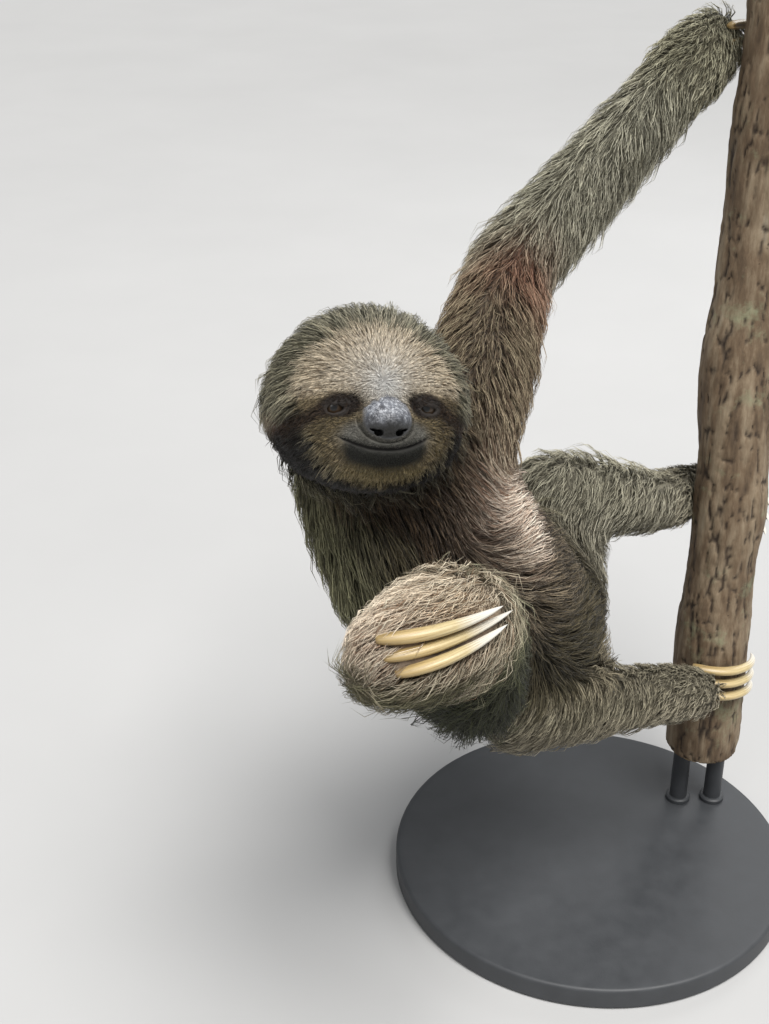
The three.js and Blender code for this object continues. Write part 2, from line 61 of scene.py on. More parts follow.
def make_camera():
    data = bpy.data.cameras.new("camera")
    data.sensor_width = 36.0
    data.lens = FOCAL_PIXELS / FRAME_HEIGHT * data.sensor_width
    camera = bpy.data.objects.new("camera", data)
    camera.location = CAMERA_AT
    camera.rotation_euler = (math.radians(90.0 - CAMERA_PITCH), 0.0, 0.0)
    bpy.context.scene.collection.objects.link(camera)
    bpy.context.scene.camera = camera


# ------------------------------------------------------------------ small helpers


def linear(*srgb):
    c = np.array(srgb, float) / 255.0
    return np.where(c < 0.04045, c / 12.92, ((c + 0.055) / 1.055) ** 2.4)


def unit(v):
    return v / np.maximum(np.linalg.norm(v, axis=-1, keepdims=True), 1e-12)


def smoothstep(low, high, x):
    t = np.clip((x - low) / (high - low), 0.0, 1.0)
    return t * t * (3.0 - 2.0 * t)


def mix(a, b, t):
    return a + (b - a) * t


def blob(*parts):
    """1 where every value is 0, falling away to nothing; parts are pairs of a value and its reach."""
    power = 0.0
    for value, reach in parts:
        power = power - (value / reach) ** 2
    return np.exp(power)


def hashed(cells, seed):
    """A number from 0 to 1 for each whole-number cell."""
    h = cells[..., 0] * 73856093 ^ cells[..., 1] * 19349663 ^ cells[..., 2] * 83492791
    h = (h ^ (seed * 2654435761)) & 0xFFFFFFFF
    h = ((h ^ (h >> 15)) * 2246822519) & 0xFFFFFFFF
    h = ((h ^ (h >> 13)) * 3266489917) & 0xFFFFFFFF
    return ((h ^ (h >> 16)) & 0xFFFFFF) / float(0xFFFFFF)


def noise(points, size, seed=0):
    """Smooth noise from -1 to 1, whose blotches are about `size` metres across."""
    q = points / size
    cell = np.floor(q).astype(np.int64)
    t = q - cell
    t = t * t * (3.0 - 2.0 * t)
    total = np.zeros(len(points))
    for dx in (0, 1):
        for dy in (0, 1):
            for dz in (0, 1):
                weight = np.ones(len(points))
                for axis, d in enumerate((dx, dy, dz)):
                    weight = weight * (t[:, axis] if d else 1.0 - t[:, axis])
                total += weight * hashed(cell + np.array([dx, dy, dz]), seed)
    return 2.0 * total - 1.0


def mesh_object(name, vertices, faces, smooth=True):
    """A mesh from vertices and triangles or quads."""
    faces = np.asarray(faces, np.int32)
    sides = faces.shape[1]
    mesh = bpy.data.meshes.new(name)
    mesh.vertices.add(len(vertices))
    mesh.vertices.foreach_set("co", np.asarray(vertices, np.float32).ravel())
    mesh.loops.add(faces.size)
    mesh.loops.foreach_set("vertex_index", faces.ravel())
    mesh.polygons.add(len(faces))
    mesh.polygons.foreach_set("loop_start", np.arange(0, faces.size, sides, dtype=np.int32))
    mesh.polygons.foreach_set("use_smooth", np.full(len(faces), smooth))
    mesh.update(calc_edges=True)
    thing = bpy.data.objects.new(name, mesh)
    bpy.context.scene.collection.objects.link(thing)
    return thing


def arrays_of(mesh):
    """A mesh's vertices, and its faces as triangles."""
    vertices = np.empty(3 * len(mesh.vertices), np.float32)
    mesh.vertices.foreach_get("co", vertices)
    mesh.calc_loop_triangles()
    triangles = np.empty(3 * len(mesh.loop_triangles), np.int32)
    mesh.loop_triangles.foreach_get("vertices", triangles)
    return vertices.reshape(-1, 3).astype(float), triangles.reshape(-1, 3)


def point_colour(thing, name, values):
    values = np.column_stack([values, np.ones(len(values))]).astype(np.float32)
    layer = thing.data.color_attributes.new(name, "FLOAT_COLOR", "POINT")
    layer.data.foreach_set("color", values.ravel())


def point_number(thing, name, values):
    layer = thing.data.attributes.new(name, "FLOAT", "POINT")
    layer.data.foreach_set("value", np.asarray(values, np.float32))


def point_vector(thing, name, values):
    layer = thing.data.attributes.new(name, "FLOAT_VECTOR", "POINT")
    layer.data.foreach_set("vector", np.asarray(values, np.float32).ravel())


def voxel_remeshed(vertices, triangles, voxel):
    thing = mesh_object("remesh_source", vertices, triangles)
    remesh = thing.modifiers.new("remesh", "REMESH")
    remesh.mode = "VOXEL"
    remesh.voxel_size = voxel
    evaluated = thing.evaluated_get(bpy.context.evaluated_depsgraph_get())
    result = bpy.data.meshes.new_from_object(evaluated)
    bpy.data.objects.remove(thing)
    return result


def vertex_normals(vertices, triangles):
    a, b, c = (vertices[triangles[:, k]] for k in range(3))
    face = np.cross(b - a, c - a)
    normals = np.zeros_like(vertices)
    for k in range(3):
        for axis in range(3):
            normals[:, axis] += np.bincount(triangles[:, k], face[:, axis], len(vertices))
    return unit(normals)


def edges_of(triangles):
    pairs = np.sort(np.vstack([triangles[:, [0, 1]], triangles[:, [1, 2]], triangles[:, [2, 0]]]), axis=1)
    return np.unique(pairs, axis=0)


def smoothed(values, edges, passes, pull=0.5):
    """Each pass moves a vertex's value towards the mean of its neighbours."""
    count = np.maximum(np.bincount(edges.ravel(), minlength=len(values)), 1)
    values = values.copy()
    for _ in range(passes):
        mean = np.empty_like(values)
        for k in range(values.shape[1]):
            total = np.bincount(edges[:, 0], values[edges[:, 1], k], len(values))
            total += np.bincount(edges[:, 1], values[edges[:, 0], k], len(values))
            mean[:, k] = total / count
        values += pull * (mean - values)
    return values


# ------------------------------------------------------------------ skeleton

JOINTS = {
    "pelvis": (-44, 34, 161),
    "shoulders": (-119, -100, 335),
    "nape": (-129, -100, 355),
    "head": (-148, -143, 413),
    "tail_tip": (-19, 76, 123),
    "shoulder_right": (-152, -115, 361),
    "elbow_right": (-98, -143, 248),
    "wrist_right": (-107, -239, 349),
    "knuckles_right": (-139, -266, 347),
    "shoulder_left": (-99, -85, 363),
    "elbow_left": (-68, 43, 411),
    "wrist_left": (31, 104, 505),
    "knuckles_left": (58, 128, 528),
    "hip_left": (-23, 43, 187),
    "knee_left": (-39, 27, 274),
    "ankle_left": (42, 72, 244),
    "toes_left": (75, 104, 238),
    "hip_right": (-63, 6, 171),
    "knee_right": (-60, -68, 181),
    "ankle_right": (22, -16, 152),
    "toes_right": (67, 15, 134),
}
JOINTS = {name: np.array(at, float) * MM for name, at in JOINTS.items()}

# Each region of flesh and the joints at its two ends: the neck's from the head, the others' outwards.
REGIONS = {
    "trunk": ("shoulders", "pelvis"),
    "neck": ("head", "shoulders"),
    "tail": ("pelvis", "tail_tip"),
    "head": ("nape", "head"),
}
LIMBS = {
    "upper_arm": ("shoulder", "elbow"), "forearm": ("elbow", "wrist"), "hand": ("wrist", "knuckles"),
    "thigh": ("hip", "knee"), "shin": ("knee", "ankle"), "foot": ("ankle", "toes"),
}
for side in ("left", "right"):
    for limb, ends in LIMBS.items():
        REGIONS[f"{limb}_{side}"] = tuple(f"{joint}_{side}" for joint in ends)
REGION_NAMES = list(REGIONS)
HEAD = REGION_NAMES.index("head")
HEAD_NODES = ["head", "ear_left", "ear_right", "eye_left", "eye_right"]

HEAD_LIFT = 28.0
HEAD_YAW = 12.0


def head_axes():
    tip, yaw = math.radians(90.0 - HEAD_LIFT), math.radians(HEAD_YAW)
    turn_x = np.array([[1, 0, 0], [0, math.cos(tip), -math.sin(tip)], [0, math.sin(tip), math.cos(tip)]])
    turn_y = np.array([[math.cos(yaw), 0, math.sin(yaw)], [0, 1, 0], [-math.sin(yaw), 0, math.cos(yaw)]])
    return turn_x @ turn_y


HEAD_AXES = head_axes()


def to_head(points):
    return (points - JOINTS["head"]) @ HEAD_AXES / MM


def from_head(points):
    return JOINTS["head"] + (np.asarray(points, float) * MM) @ HEAD_AXES.T


# ------------------------------------------------------------------ shape of the face, in millimetres

EYE_AT = (21.5, -7.0, 28.0)
EYE_RADIUS = 6.2
LID_RADIUS = 7.3
NECK_JOIN = np.array([0.0, -13.0, -22.5])
SKULL_AT, SKULL_RADII, SKULL_BELOW = (0, -7, -5), (45.5, 46.5, 34.5), 33

# Forms over the skull: centre, radii, how broadly each blends with those before it, and whether both
# sides have it.
HEAD_FORMS = {
    "brow": ((0, -1, 12), (30, 19, 24.5), 14, False),
    "jaw": ((0, -24, 6), (32, 14.5, 25), 12, False),
    "cheek": ((23, -18, 13), (11, 11, 15), 10, True),
    "socket": ((20.5, -6.5, 20), (13.5, 9.5, 11.5), 8, True),
    "bridge": ((0, -5, 31), (9.5, 8.5, 12.5), 8, False),
    "chin": ((0, -31, 18), (21.5, 11, 16), 9, False),
    "muzzle": ((0, -22.5, 27), (20.5, 11.5, 18.5), 9, False),
    "lips": ((0, -30.5, 26), (16, 6, 14), 3, False),
    "nose": ((0, -14.0, 40), (12, 9.6, 12.6), 5, False),
    "eyelid": (EYE_AT, (LID_RADIUS, LID_RADIUS, LID_RADIUS), 3, True),
}


def egg(p, centre, radii, below=None):
    """About the distance to an egg, whose lower half can have a height of its own."""
    q = p - np.array(centre, float)
    r = np.tile(np.array(radii, float), (len(p), 1))
    if below is not None:
        r[:, 1] = np.where(q[:, 1] < 0, below, radii[1])
    return (np.linalg.norm(q / r, axis=1) - 1.0) * min(radii)


def soft_union(a, b, fillet):
    overlap = np.maximum(fillet - np.abs(a - b), 0.0) / fillet
    return np.minimum(a, b) - overlap**2 * fillet / 4.0


def mirrored(p):
    q = p.copy()
    q[:, 0] = np.abs(q[:, 0])
    return q


def mouth_height(x):
    """Height of the mouth line: lowest in the middle and rising to its corners."""
    return -27.0 + 6.0 * np.minimum(np.abs(x) / 20.6, 1.2) ** 2.2


def skin_field(p):
    """Distance to the bare skin of the head, less than zero inside."""
    m = mirrored(p)
    f = egg(p, SKULL_AT, SKULL_RADII, SKULL_BELOW)
    for centre, radii, fillet, paired in HEAD_FORMS.values():
        f = soft_union(f, egg(m if paired else p, centre, radii), fillet)
    wing = blob((np.hypot(m[:, 0] / 12.2, (p[:, 1] + 14.0) / 9.8) - 1.03, 0.07))
    f = f + smoothstep(36, 40, p[:, 2]) * 0.7 * wing * smoothstep(-8, -14, p[:, 1])
    folds = np.hypot(m[:, 0] - EYE_AT[0], (p[:, 1] - EYE_AT[1]) * 1.3)
    crease = blob((folds - 7.2, 0.7)) + 0.7 * blob((folds - 9.4, 0.8))
    return f + smoothstep(24, 28, p[:, 2]) * 0.4 * crease


def almond(m):
    """Less than 1 in the gap between the lids: an almond whose top is cut off by the heavy upper lid."""
    x, y = m[:, 0] - EYE_AT[0] - 0.2, m[:, 1] - EYE_AT[1] + 1.3
    lid = 1.0 + (m[:, 1] - (EYE_AT[1] + 0.15 - 0.06 * x**2)) / 1.4
    return np.maximum(np.hypot(x / 3.8, (y + 0.08 * x) / 1.95), lid)


def nostril(m):
    """Less than 1 in the nostril and in the slit that runs out from it."""
    hole = np.hypot((m[:, 0] - 4.7) / 1.9, (m[:, 1] + 19.9) / 1.5)
    slit = np.hypot((m[:, 0] - 6.6) / 1.9, (m[:, 1] + 18.8 - 0.25 * (m[:, 0] - 6.6)) / 0.6)
    return np.minimum(hole, slit)


def face_relief(p):
    """How far the skin lies sunk along z at the lids' gap, the nostrils and the mouth."""
    m = mirrored(p)
    gap = almond(m)
    sunk = 4.2 * (1 - smoothstep(0.86, 1.06, gap)) - 0.25 * blob((gap - 1.25, 0.16))
    sunk = sunk * smoothstep(26, 29, p[:, 2])
    sunk = sunk + 4.5 * (1 - smoothstep(0.72, 1.08, nostril(m))) * smoothstep(38, 42, p[:, 2])
    line = p[:, 1] - mouth_height(p[:, 0])
    lips = 1.9 * blob((line, 0.75))
    lips -= 1.0 * blob((line + 2.8, 2.0)) + 0.6 * blob((line - 2.2, 1.8))
    corner = 0.8 * blob((m[:, 0] - 21.0, 2.4), (p[:, 1] + 20.6, 2.6))
    return sunk + smoothstep(12, 20, p[:, 2]) * (lips * (1 - smoothstep(18.5, 22.0, m[:, 0])) + corner)


def slope_of_skin(p):
    """Value and slope of the head's skin field."""
    probe = 0.05
    here = skin_field(p)
    slope = np.empty_like(p)
    for axis in range(3):
        beside = p.copy()
        beside[:, axis] += probe
        slope[:, axis] = (skin_field(beside) - here) / probe
    return here, slope


def settled(points, weight, rounds):
    """Points in the head's axes, moved onto the skin along its slope."""
    p = points.copy()
    for _ in range(rounds):
        here, slope = slope_of_skin(p)
        step = -here / np.maximum((slope**2).sum(1), 0.05)
        p += 0.8 * slope * np.clip(step, -1.6, 1.6)[:, None] * weight[:, None]
    return p


def evened(points, weight, edges, rounds):
    """Spreads the points evenly over the skin, so its small forms keep enough of them."""
    p = points.copy()
    inside = np.flatnonzero(weight > 0)
    number = np.full(len(p), -1)
    number[inside] = np.arange(len(inside))
    near = number[edges[(number[edges] >= 0).all(1)]]
    q, w = p[inside], weight[inside]
    for _ in range(rounds):
        _, slope = slope_of_skin(q)
        up = unit(slope)
        move = smoothed(q, near, 1, 1.0) - q
        move -= 0.9 * up * (move * up).sum(1, keepdims=True)
        q = settled(q + 0.7 * move * w[:, None], w, 1)
    q[:, 2] -= face_relief(q) * w
    p[inside] = q
    return p


# ------------------------------------------------------------------ skin

SKIN_VOXEL = 2.6 * MM
SKIN_PASSES, DEPTH_PASSES, SHARE_PASSES = 22, 25, 6
SETTLING_ROUNDS, EVENING_ROUNDS = 14, 30

# Parts of the face whose skin is cut finer, each within the one before: half width, top, bottom and back.
FINER_PARTS = ((46, 30, -50, -2), (34, 8, -42, 12), (31, 3, -36, 18))

# Depth of the coat over the skin of each region, in millimetres.
DEPTH = {
    "trunk": 9, "neck": 9, "tail": 6, "head": 5, "upper_arm": 8.5, "forearm": 7.5, "hand": 4.5,
    "thigh": 8.5, "shin": 7, "foot": 4.5,
}


def kind_of(region):
    return region.rsplit("_", 1)[0] if region.endswith(("_left", "_right")) else region


def cad_flesh():
    """The CAD's solids of flesh as one set of triangles, and the region of each triangle."""
    vertices, triangles, owners = [], [], []
    count = 0
    for name in [*REGION_NAMES, *HEAD_NODES[1:]]:
        v, t = arrays_of(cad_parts[name].data)
        vertices.append(v)
        triangles.append(t + count)
        region = HEAD if name in HEAD_NODES else REGION_NAMES.index(name)
        owners.append(np.full(len(t), region))
        count += len(v)
    return np.vstack(vertices), np.vstack(triangles), np.concatenate(owners)


def nearest_owner(points, vertices, triangles, owners):
    tree = BVHTree.FromPolygons(vertices.tolist(), triangles.tolist())
    return np.array([owners[tree.find_nearest(p)[2]] for p in points.tolist()])


def refined_face(mesh):
    """Cuts the faces of the skin finer over the face, and finest round the eyes, nose and mouth."""
    bm = bmesh.new()
    bm.from_mesh(mesh)
    for side, top, bottom, back in FINER_PARTS:
        inside = []
        for face in bm.faces:
            x, y, z = to_head(np.array(face.calc_center_median()))
            if abs(x) < side and bottom < y < top and z > back:
                inside.append(face)
        edges = list({edge for face in inside for edge in face.edges})
        bmesh.ops.subdivide_edges(bm, edges=edges, cuts=1, use_grid_fill=True)
    bmesh.ops.triangulate(bm, faces=bm.faces)
    bm.to_mesh(mesh)
    bm.free()


def make_skin():
    """Skin as arrays: "v" vertices, "t" triangles, "n" normals, "edges", and for each vertex its region,
    the region whose coat it has and its share of the head's own shape.
    """
    vertices, triangles, owners = cad_flesh()
    mesh = voxel_remeshed(vertices, triangles, SKIN_VOXEL)
    rough, faces = arrays_of(mesh)
    flat = smoothed(rough, edges_of(faces), SKIN_PASSES)
    mesh.vertices.foreach_set("co", flat.astype(np.float32).ravel())
    refined_face(mesh)
    v, t = arrays_of(mesh)
    bpy.data.meshes.remove(mesh)
    edges = edges_of(t)
    region = nearest_owner(v, vertices, triangles, owners)
    drift = np.column_stack([noise(v, 14 * MM, seed) for seed in (41, 42, 43)]) * 9 * MM
    style_region = nearest_owner(v + drift, vertices, triangles, owners)
    depth = np.array([DEPTH[kind_of(name)] for name in REGION_NAMES], float)[region][:, None]
    depth = smoothed(depth, edges, DEPTH_PASSES)
    v = v - vertex_normals(v, t) * depth * MM
    local = to_head(v)
    beyond = (local - NECK_JOIN) @ unit(-NECK_JOIN)
    share = smoothstep(-2.0, 14.0, beyond) * (region == HEAD)
    share = smoothed(share[:, None], edges, SHARE_PASSES)[:, 0]
    head = share > 0.001
    local[head] = settled(local[head], share[head], SETTLING_ROUNDS)
    v[head] = from_head(local[head])
    rim = np.hypot(local[:, 0] / 36, (local[:, 1] + 15) / 30)
    front = smoothstep(1.0, 0.85, rim) * smoothstep(6, 14, local[:, 2]) * head
    v[head] = from_head(evened(local, front, edges, EVENING_ROUNDS)[head])
    return {
        "v": v, "t": t, "n": vertex_normals(v, t), "edges": edges,
        "region": region, "style_region": style_region, "head": share,
    }


# ------------------------------------------------------------------ unwrap of the skin

CHART_MARGIN = 0.006
HEAD_CHART_RADIUS = 0.043
CHART_RADIUS = np.full(len(REGION_NAMES), 0.03)  # lay_charts sets each region's own


def chart_plane(points, region, theta_near=None):
    """Points of one region on a flat unwrap of it, in metres, less than half a turn from theta_near."""
    if region == HEAD:
        p = to_head(points)
        polar = np.arctan2(np.hypot(p[:, 0], p[:, 1] + 10), p[:, 2] + 14)
        spin = np.arctan2(p[:, 1] + 10, p[:, 0])
        reach = polar * HEAD_CHART_RADIUS
        return np.column_stack([reach * np.cos(spin), reach * np.sin(spin)])
    start, end = (JOINTS[name] for name in REGIONS[REGION_NAMES[region]])
    axis = unit(end - start)
    side = unit(np.cross(axis, [0.3, 1.0, 0.2]))
    front = np.cross(axis, side)
    q = points - start
    theta = np.arctan2(q @ front, q @ side)
    if theta_near is not None:
        theta = theta_near + (theta - theta_near + math.pi) % (2 * math.pi) - math.pi
    return np.column_stack([theta * CHART_RADIUS[region], q @ axis])


def chart_theta(points, region):
    return chart_plane(points, region)[:, 0] / CHART_RADIUS[region]


def lay_charts(skin):
    """Gives each region its own rectangle of the unit square, by rows, tallest first."""
    boxes = []
    for region, name in enumerate(REGION_NAMES):
        points = skin["v"][skin["region"] == region]
        start, end = (JOINTS[joint] for joint in REGIONS[name])
        q = points - start
        off = q - (q @ unit(end - start))[:, None] * unit(end - start)
        CHART_RADIUS[region] = np.linalg.norm(off, axis=1).mean()
        plane = chart_plane(points, region)
        low, high = plane.min(0), plane.max(0)
        if region != HEAD:
            low[0] = -math.pi * CHART_RADIUS[region]
            high[0] = math.pi * CHART_RADIUS[region]
        boxes.append((low, high - low))
    scale = 2.0
    while True:
        placed = {}
        x, y, row, fits = CHART_MARGIN, CHART_MARGIN, 0.0, True
        for region in sorted(range(len(boxes)), key=lambda r: -boxes[r][1][1]):
            width, height = boxes[region][1] * scale + CHART_MARGIN
            if x + width > 1.0:
                x, y, row = CHART_MARGIN, y + row, 0.0
            fits = fits and x + width <= 1.0 and y + height <= 1.0
            placed[region] = (np.array([x, y]), boxes[region][0], scale)
            x += width
            row = max(row, height)
        if fits:
            return placed
        scale *= 0.97


def charted(plane, chart):
    corner, low, scale = chart
    return corner + (plane - low) * scale


def skin_uv(skin, charts):
    """Places of the corners of each triangle of the skin on the unwrap."""
    v, t = skin["v"], skin["t"]
    uv = np.zeros((len(t), 3, 2))
    owner = np.median(skin["region"][t], axis=1).astype(int)
    for region, chart in charts.items():
        mine = owner == region
        if not mine.any():
            continue
        corners = v[t[mine]]
        near = None
        if region != HEAD:
            near = np.repeat(chart_theta(corners.mean(1), region), 3)
        plane = chart_plane(corners.reshape(-1, 3), region, near)
        uv[mine] = charted(plane, chart).reshape(-1, 3, 2)
    return np.clip(uv, 0.0, 1.0)


# ------------------------------------------------------------------ lie, length and colour of the coat

# Columns of a style: length, lift, width and curl of a hair in millimetres, clumping from 0 to 1, hairs
# for each square centimetre, share of pale hairs, dark colour and pale colour.
LENGTH, LIFT, WIDTH, CURL, CLUMP, DENSITY, SHARE = range(7)
DARK, PALE = slice(7, 10), slice(10, 13)
STYLE_PASSES, LIE_PASSES = 70, 14


def style(length, lift, width, curl, clump, density, share, dark, pale):
    return np.concatenate([[length, lift, width, curl, clump, density, share], linear(*dark), linear(*pale)])


REGION_STYLES = {
    "trunk": style(36, 8.5, 0.58, 2.8, 0.32, 38, 0.42, (50, 41, 31), (150, 135, 112)),
    "neck": style(24, 7.0, 0.62, 2.0, 0.4, 38, 0.16, (33, 24, 16), (90, 74, 54)),
    "tail": style(20, 6.0, 0.62, 2.0, 0.4, 36, 0.4, (74, 62, 48), (158, 148, 126)),
    "head": style(27, 6.5, 0.42, 2.6, 0.18, 108, 0.5, (50, 48, 34), (168, 163, 140)),
    "upper_arm_right": style(37, 8.5, 0.62, 2.6, 0.36, 38, 0.5, (54, 51, 36), (144, 142, 112)),
    "forearm_right": style(32, 10.5, 0.48, 5.5, 0.28, 50, 0.4, (28, 29, 16), (124, 124, 96)),
    "hand_right": style(24, 7.0, 0.42, 4.2, 0.16, 98, 0.68, (144, 112, 88), (242, 228, 208)),
    "upper_arm_left": style(29, 7.0, 0.6, 2.4, 0.3, 38, 0.42, (76, 60, 47), (158, 143, 120)),
    "forearm_left": style(29, 7.5, 0.5, 4.0, 0.22, 46, 0.55, (74, 70, 54), (206, 202, 182)),
    "hand_left": style(16, 5.5, 0.52, 2.6, 0.3, 56, 0.5, (82, 76, 58), (182, 178, 154)),
    "thigh_left": style(30, 8.0, 0.6, 2.6, 0.35, 36, 0.5, (80, 75, 61), (164, 158, 139)),
    "shin_left": style(24, 7.5, 0.54, 2.8, 0.25, 44, 0.6, (98, 93, 78), (192, 187, 168)),
    "foot_left": style(13, 5.0, 0.54, 2.0, 0.3, 56, 0.55, (92, 86, 71), (178, 171, 150)),
    "thigh_right": style(30, 8.0, 0.6, 2.6, 0.35, 36, 0.4, (58, 53, 40), (138, 130, 110)),
    "shin_right": style(24, 7.0, 0.58, 2.4, 0.3, 42, 0.5, (78, 72, 58), (168, 160, 140)),
    "foot_right": style(13, 5.0, 0.54, 2.0, 0.3, 56, 0.55, (88, 82, 67), (174, 166, 146)),
}
WHORL = np.array([0.0, 5.0, 38.0])
FIST_END = JOINTS["knuckles_right"] + np.array([0.002, -0.021, 0.012])
BELLY_WAY = unit(np.array([0.43, -0.62, -0.25]))


def lie_of_fist(points, normals, inward):
    """Towards the claws on the fist, turning round the wrist until it runs towards the elbow."""
    palm = unit(JOINTS["knuckles_right"] - JOINTS["wrist_right"])
    along = (points - JOINTS["wrist_right"]) @ palm
    turn = math.pi * smoothstep(0.008, -0.055, along)[:, None]
    return -np.cos(turn) * inward + np.sin(turn) * np.cross(inward, normals) + 0.35 * DOWN


def lie_of_body(points, normals, region):
    """Way in which the coat of each vertex lies, before it is laid along the skin."""
    lie = np.zeros_like(points)
    spine = unit(JOINTS["pelvis"] - JOINTS["shoulders"])
    for index, name in enumerate(REGION_NAMES):
        mine = region == index
        if not mine.any():
            continue
        start, end = (JOINTS[joint] for joint in REGIONS[name])
        inward = unit(start - end)
        kind = kind_of(name)
        if kind == "trunk":
            across = unit(np.cross(spine, BELLY_WAY))
            side = np.tanh(((points[mine] - start) @ across) / 0.012)
            belly = smoothstep(-0.4, 0.6, normals[mine] @ BELLY_WAY)
            lie[mine] = mix(0.25, 0.95, belly)[:, None] * side[:, None] * across + 0.75 * spine
        elif kind == "neck":
            lie[mine] = 0.8 * unit(end - start) + 0.5 * DOWN
        elif kind == "tail":
            lie[mine] = unit(end - start)
        elif name == "upper_arm_right":
            lie[mine] = -inward + 0.4 * DOWN
        elif name in ("forearm_right", "hand_right"):
            lie[mine] = lie_of_fist(points[mine], normals[mine], inward)
        elif kind in ("upper_arm", "thigh"):
            lie[mine] = 0.7 * inward + 0.7 * DOWN
        elif kind in ("forearm", "shin"):
            lie[mine] = 0.6 * inward + 0.8 * DOWN
        elif kind in ("hand", "foot"):
            lie[mine] = inward + 0.25 * DOWN
    return lie


def lie_of_head(p):
    """The coat of the head lies away from the whorl of the brow and from the nose, and hangs at the sides."""
    local_down = HEAD_AXES.T @ DOWN
    from_whorl = unit(p - WHORL)
    nose = np.array([0.0, -17.0, 46.0])
    from_nose = unit((p - nose) * np.array([1.0, 0.9, 1.0]))
    lower = 1.0 - smoothstep(-12.0, -1.0, p[:, 1] + 0.12 * np.abs(p[:, 0]))
    lie = mix(from_whorl, from_nose, lower[:, None])
    back = smoothstep(14.0, -16.0, p[:, 2])
    lie = lie + (0.25 + 0.75 * back)[:, None] * local_down
    lie = lie + 0.35 * lower[:, None] * local_down
    return lie @ HEAD_AXES.T


